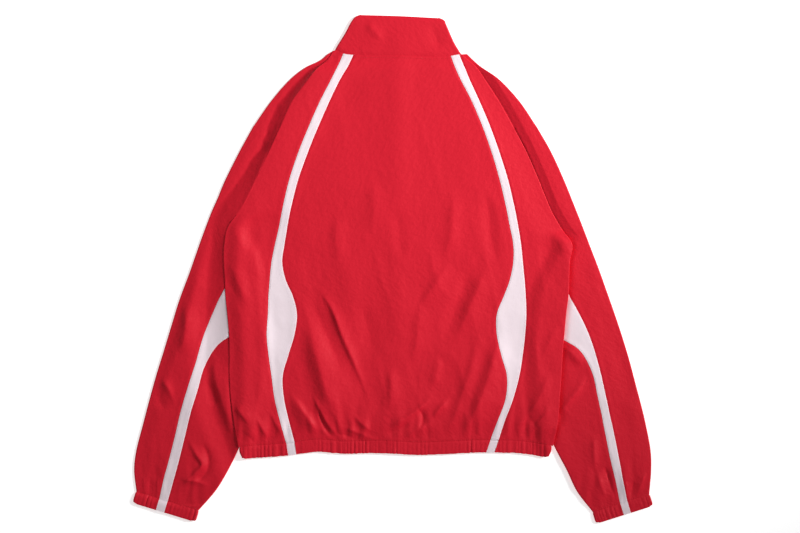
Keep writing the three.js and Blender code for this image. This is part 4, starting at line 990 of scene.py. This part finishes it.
def sleeve_under(side):
    level = sleeve_levels[side]
    level = np.insert(level[level > 4.4], 0, 4.38)
    row, width, place, share = section(side, level)
    reach = 1.8 / width
    white = np.minimum(share(row["white_in"]), 1 - 1.6 * reach)
    columns = []
    for t in np.linspace(0, 1, 10):
        x, y = place(mix(under_seam(side, level) + 0.3 / width, 1 - reach, t))
        columns.append((x, y, FLOOR_LAYER + 0 * x))
    columns += round_fold(place, side, True, reach, False)
    places = [mix(white, 1 - reach, t) for t in across(36, (0, 0.01, 0.03, 0.06), both=False)[::-1]]
    for at in by_the_body(side, level, places, white, 1 - reach):
        x, y = place(at)
        columns.append((x, y, outside_z(side, x, y) + 0.7 * seam_dip((at - white) * width)))
    net = stack(columns)
    return cloth(
        f"sleeve_under_{side}_cloth", [net], f"sleeve_under_{side}", "jacket", RED,
        faces_up=False,
    )


def sleeve_insert(side):
    level = sleeve_levels[side]
    level = np.insert(level[level > 5.65], 0, 5.6)
    row, width, place, share = section(side, level)
    reach = 1.6 / width
    from_t = np.minimum(share(row["white_out"]), 1 - 2.2 * reach)
    to_t = np.minimum(share(row["white_in"]), 1 - 2.1 * reach)
    down_x, down_y = cuff_way(side)
    columns = []
    shares = across(18, (0, 0.02, 0.06, 0.12))
    places = by_the_body(side, level, [mix(from_t, to_t, t) for t in shares], from_t, to_t)
    for t, at in zip(shares, places):
        x, y = place(at)
        edge = np.minimum(at - from_t, to_t - at) * width
        z = outside_z(side, x, y) + 0.3 + 0.4 * seam_dip(edge)
        steps = np.array([0.05, 0.15, 0.3, 0.5, 0.7, 0.85, 1.0]) * CUFF_HEIGHT
        x = np.concatenate([x, x[-1] + down_x * steps])
        y = np.concatenate([y, y[-1] + down_y * steps])
        band = CUFF_TOP + 0.9 + 0.3 * np.sin(np.pi * steps / CUFF_HEIGHT)
        band = mix(z[-1] - 0.3, band, smooth(0, 0.3, steps / CUFF_HEIGHT))
        columns.append((x, y, np.concatenate([z, band + 0.3 * min(t, 1 - t)])))
    net = stack(columns)
    return cloth(
        f"sleeve_insert_{side}_cloth", [net], f"sleeve_insert_{side}", "jacket", WHITE,
    )


CUFF_LOW = CASING / 2
CUFF_TOP = CUFF_LOW + CASING + CASING_GAP


def cuff(side):
    last = float(len(SLEEVES[side]) - 1)
    row, width, place, share = section(side, np.array([last]))
    reach = 2.2 / width
    down_x, down_y = cuff_way(side)
    white_out = float(share(row["white_out"])[0])
    white_in = float(share(row["white_in"])[0])
    around = []
    for at in np.linspace(white_out, float(reach[0]), int(white_out * 90))[:]:
        around.append((at, 1.0))
    for angle in np.linspace(0, np.pi, 9)[1:-1]:
        around.append((float(reach[0]) * (1 - np.sin(angle)), np.cos(angle)))
    for at in np.linspace(float(reach[0]), 1 - float(reach[0]), 70):
        around.append((at, -1.0))
    for angle in np.linspace(np.pi, 0, 9)[1:-1]:
        around.append((1 - float(reach[0]) * (1 - np.sin(angle)), np.cos(angle)))
    for at in np.linspace(1 - float(reach[0]), white_in, int((1 - white_in) * 90)):
        around.append((at, 1.0))
    at = np.array([a for a, _ in around])[None, :]
    height = np.array([h for _, h in around])[None, :]
    v = np.array([0.0, 0.03, 0.1, 0.22, 0.38, 0.55, 0.72, 0.86, 0.95, 1.0])[:, None]
    crown = (1 - (2 * v - 1) ** 6) * 0.5
    wide = 0.5 + (at - 0.5) * mix(0.985, 1.01, crown * 2)
    x = row["outer"] + (row["inner"] - row["outer"]) * wide + down_x * CUFF_HEIGHT * v
    y = row["y"] - row["drop"] * wide + down_y * CUFF_HEIGHT * v
    corner = CORNER * v**3 * smooth(8, 0, np.minimum(wide, 1 - wide) * width[0])
    x = x - down_x * corner
    y = y - down_y * corner
    middle = (CUFF_TOP + CUFF_LOW) / 2
    half = (CUFF_TOP - CUFF_LOW) / 2
    wave = gathers(at * float(width[0]) + 300 * SIGN[side], 0 * v, 81) * mix(0.5, 1, crown * 2)
    z = middle + half * height + np.where(height > 0, (crown - 0.2 + 0.55 * wave) * height, 0.25 * crown * height)
    level_with = outside_z(side, x[:1], y[:1]) - 0.45 - CUFF_TOP
    z = z + level_with * np.maximum(height, 0) * (1 - smooth(0, 0.3, v))
    return cloth(
        f"cuff_{side}_band", [(x, y, z + 0 * x)], f"cuff_{side}", "jacket", RED,
        thickness=1.8, gathered=1.25,
    )


# Collar
def collar_place(t, rise, dip):
    x = mix(collar_left(rise), collar_right(rise), t)
    ease = np.where(dip(x) > 0, 1.2, 0.15) if dip is scoop else 0.15
    neck = neck_line(np.clip(x, -98, 116)) + ease
    return x, mix(neck, collar_edge(x), rise) - dip(x)


def no_dip(x):
    return 0 * x


def collar_piece(name, node, from_t, to_t, back, rounds):
    rises = np.concatenate([[0, 0.012, 0.03, 0.06], np.linspace(0.1, 0.92, 16), [0.95, 0.975, 0.99, 1]])[:, None]
    dip = no_dip if back else scoop
    t = np.linspace(from_t, to_t, 90 if back else 30)[None, :] + 0 * rises
    span = collar_right(rises) - collar_left(rises)
    reach = 1.8 / span
    t = np.clip(t, reach if rounds[0] else 0, 1 - reach if rounds[1] else 1)
    x, y = collar_place(t, rises + 0 * t, dip)
    low = COLLAR / 2
    if back:
        edge = (collar_edge(x) - y) / 60
        form = creases(x, y, COLLAR_CREASES) + 0.7 * swell(x, y, 91)
        z = low + COLLAR + COLLAR_GAP + 0.7 * over_zip(x, y) * smooth(440, 395, y)
        z = z + (0.9 + form) * smooth(0, 0.12, rises) * smooth(0, 0.1, edge) + seam_dip(rises * 66) * 0.3
    else:
        z = low + 0 * x
    net = (x, y, z)
    middle = (low * 2 + COLLAR + COLLAR_GAP) / 2 + (0.5 if back else -0.5)
    if rounds[1]:
        end = collar_place(1 + 0 * rises[:, 0], rises[:, 0], dip)
        net = with_columns(net, rounded(tuple(a[:, -1] for a in net), end, middle))
    if rounds[0]:
        net = tuple(a[:, ::-1] for a in net)
        end = collar_place(0 * rises[:, 0], rises[:, 0], dip)
        net = with_columns(net, rounded(tuple(a[:, -1] for a in net), end, middle))
    return cloth(name, [net], node, "jacket", RED, faces_up=back, thickness=1.5)


def collar():
    pieces = [collar_piece("collar_back_cloth", "collar_back", 0, 1, True, (True, True))]
    slot = {side: (ZIP_TOP_X + sign * ZIP_SLOT / 2 + 98) / 214 for side, sign in SIGN.items()}
    pieces.append(collar_piece("collar_front_left_cloth", "collar_front_left", 0, slot["left"], False, (True, False)))
    pieces.append(
        collar_piece("collar_front_right_cloth", "collar_front_right", slot["right"], 1, False, (False, True))
    )
    return pieces


back_centre()
for side in SIGN:
    back_tape(side)
    back_side(side)
    front_panel(side)
    sleeve_upper(side)
    sleeve_under(side)
    sleeve_insert(side)
    cuff(side)
hem_band()
collar()



def link(shape, name, material, node=None):
    """A small sewn or moulded piece made from the shape, fixed to the jacket"""
    mesh = bpy.data.meshes.new(name)
    shape.to_mesh(mesh)
    shape.free()
    mesh.materials.append(material)
    piece = bpy.data.objects.new(name, mesh)
    bpy.context.scene.collection.objects.link(piece)
    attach(piece, "jacket")
    if node:
        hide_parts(node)
    return piece


def stitches(name, lines, material, pitch=3.3):
    """Rows of short rounded lengths of thread, lying on the cloth"""
    sewing = bmesh.new()
    few = bmesh.new()
    part = bpy.data.meshes.new("some stitches")
    for x, y, z in lines:
        line = np.stack([x, y, z], axis=1)
        far = np.concatenate([[0], np.cumsum(np.linalg.norm(np.diff(line, axis=0), axis=1))])
        count = int(far[-1] / pitch)
        for at in (np.arange(count) + 0.5) * far[-1] / count:
            here, ahead = (Vector([np.interp(d, far, line[:, k]) for k in range(3)]) for d in (at, at + 0.6))
            turn = (ahead - here).to_track_quat("X", "Z").to_matrix().to_4x4()
            size = Matrix.Diagonal((2.3, 0.6, 0.5, 1))
            place = Matrix.Scale(MM, 4) @ Matrix.Translation(here) @ turn @ size
            bmesh.ops.create_uvsphere(few, u_segments=6, v_segments=4, radius=0.5, matrix=place)
            if len(few.verts) > 600:
                few.to_mesh(part)
                sewing.from_mesh(part)
                few.clear()
    few.to_mesh(part)
    sewing.from_mesh(part)
    few.free()
    bpy.data.meshes.remove(part)
    piece = link(sewing, name, material)
    piece.data.polygons.foreach_set("use_smooth", np.ones(len(piece.data.polygons), dtype=bool))


ON_TOP = SHELL / 2 + 0.05
neck_x = np.linspace(-92, 108, 160)
neck_y = neck_line(neck_x) - 3
hem_x = np.linspace(-254, 262, 500)
hem_y = hem_line(hem_x) + HEM_HEIGHT + 2.6
stitches(
    "neck_stitching", [(neck_x, neck_y, back_z(neck_x, neck_y) + ON_TOP)], THREAD
)
stitches("hem_stitching", [(hem_x, hem_y, back_z(hem_x, hem_y) + ON_TOP + 0.1)], THREAD)
for side, sign in SIGN.items():
    level = body_levels
    edges = []
    for inward, edge in ((sign, "in_" + side), (-sign, "out_" + side)):
        x = body_at[edge](level) + inward * 2.2
        y = body_place(level, x, 0, 0.8)
        edges.append((x, y, back_z(x, y) + 0.3 + ON_TOP))
    stitches(f"back_tape_{side}_stitching", edges, WHITE_THREAD)
    level = sleeve_levels[side][sleeve_levels[side] > 8.2]
    row, width, place, share = section(side, level)
    edges = []
    for inward, edge in ((1, "white_out"), (-1, "white_in")):
        x, y = place(share(row[edge]) + inward * 2.2 / width)
        edges.append((x, y, outside_z(side, x, y) + 0.3 + ON_TOP))
    stitches(f"sleeve_insert_{side}_stitching", edges, WHITE_THREAD)
    row, width, place, share = section(side, np.full(120, float(len(SLEEVES[side]) - 1)))
    around = np.linspace(0.05, 0.95, 120)
    x, y = place(around)
    down_x, down_y = cuff_way(side)
    x = x - down_x * 2
    y = y - down_y * 2
    stitches(f"cuff_{side}_stitching", [(x, y, outside_z(side, x, y) + ON_TOP)], THREAD)
    y = np.linspace(HEM_SEAM + 4, NECK_SEAM - NECK_SCOOP - 4, 300)
    x = zip_x(y) + sign * (ZIP_SLOT / 2 + 3)
    stitches(f"zip_{side}_stitching", [(x, y, 0 * y + FLOOR_LAYER - SHELL / 2 + 0.05)], THREAD, 4)


def zip_teeth():
    """Two rows of moulded teeth that lock together, with the box that holds their lower ends"""
    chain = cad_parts["zip_chain"]
    spots = np.array([tuple(chain.matrix_world @ v.co) for v in chain.data.vertices]) / MM
    order = np.argsort(spots[:, 1])
    spots = spots[order]
    ends = [np.array([part.mean(axis=0) for part in np.array_split(spots, len(spots) // 8)])][0]
    low = spots[0, 1]
    high = spots[-1, 1]
    pitch = 2.8
    shape = bmesh.new()
    count = int((high - low - 14) / pitch)
    for i in range(count):
        for sign in SIGN.values():
            y = low + 11 + (i + 0.25 * sign) * pitch
            x = zip_x(y) + sign * 0.65
            z = np.interp(y, ends[:, 1], ends[:, 2])
            place = Matrix.Translation((x * MM, y * MM, z * MM)) @ Matrix.Diagonal((3 * MM, 1.15 * MM, 2 * MM, 1))
            bmesh.ops.create_cube(shape, size=1, matrix=place)
    y = low + 4.5
    z = np.interp(y, ends[:, 1], ends[:, 2])
    place = Matrix.Translation((zip_x(y) * MM, y * MM, z * MM)) @ Matrix.Diagonal((4.3 * MM, 8 * MM, 2.1 * MM, 1))
    bmesh.ops.create_cube(shape, size=1, matrix=place)
    bmesh.ops.bevel(
        shape, geom=shape.edges[:], offset=0.25 * MM, affect="EDGES", segments=1, profile=0.5, material=-1
    )
    return link(shape, "zip_teeth", TEETH, "zip_chain")


zip_teeth()
for name, material in (
    ("zip_tape_left", TAPE_RED),
    ("zip_tape_right", TAPE_RED),
    ("zip_slider", METAL),
    ("zip_pull_tab", METAL),
):
    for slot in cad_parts[name].material_slots:
        slot.material = material

# A pale floor, one large soft light from the upper right, and the camera straight above
floor_shape = bmesh.new()
bmesh.ops.create_grid(floor_shape, x_segments=1, y_segments=1, size=4)
floor_mesh = bpy.data.meshes.new("floor")
floor_shape.to_mesh(floor_mesh)
floor_shape.free()
floor = bpy.data.objects.new("floor", floor_mesh)
bpy.context.scene.collection.objects.link(floor)
paper = bpy.data.materials.new("pale floor")
paper.use_nodes = True
paper.node_tree.nodes["Principled BSDF"].inputs["Base Color"].default_value = (0.93, 0.93, 0.93, 1)
paper.node_tree.nodes["Principled BSDF"].inputs["Roughness"].default_value = 0.9
paper.node_tree.nodes["Principled BSDF"].inputs["Emission Color"].default_value = (1, 1, 1, 1)
paper.node_tree.nodes["Principled BSDF"].inputs["Emission Strength"].default_value = 0.55
floor_mesh.materials.append(paper)


def aim(lamp, spot, target):
    light = bpy.data.objects.new(lamp.name, lamp)
    light.location = spot
    light.rotation_euler = (Vector(target) - Vector(spot)).to_track_quat("-Z", "Y").to_euler()
    bpy.context.scene.collection.objects.link(light)


lamp = bpy.data.lights.new("window light", "SPOT")
lamp.energy = 674
lamp.spot_size = np.radians(38)
lamp.spot_blend = 1
lamp.shadow_soft_size = 0.5
aim(lamp, (2.7, 0.95, 1.7), (0.08, 0.3, 0))
lamp = bpy.data.lights.new("fill light", "AREA")
lamp.shape = "SQUARE"
lamp.size = 2.2
lamp.energy = 8
aim(lamp, (-0.6, 0.6, 3.2), (0, 0, 0))
world = bpy.data.worlds.new("studio")
world.use_nodes = True
world.node_tree.nodes["Background"].inputs["Color"].default_value = (1, 1, 1, 1)
world.node_tree.nodes["Background"].inputs["Strength"].default_value = 0.2
bpy.context.scene.world = world
bpy.context.scene.view_settings.view_transform = "Standard"

lens = bpy.data.cameras.new("camera")
lens.lens = 85
lens.sensor_width = 36
camera = bpy.data.objects.new("camera", lens)
camera.location = (0.0123, 0.0061, 3.211 + 0.006)
camera.rotation_euler = (0, 0, 0)
bpy.context.scene.collection.objects.link(camera)
bpy.context.scene.camera = camera
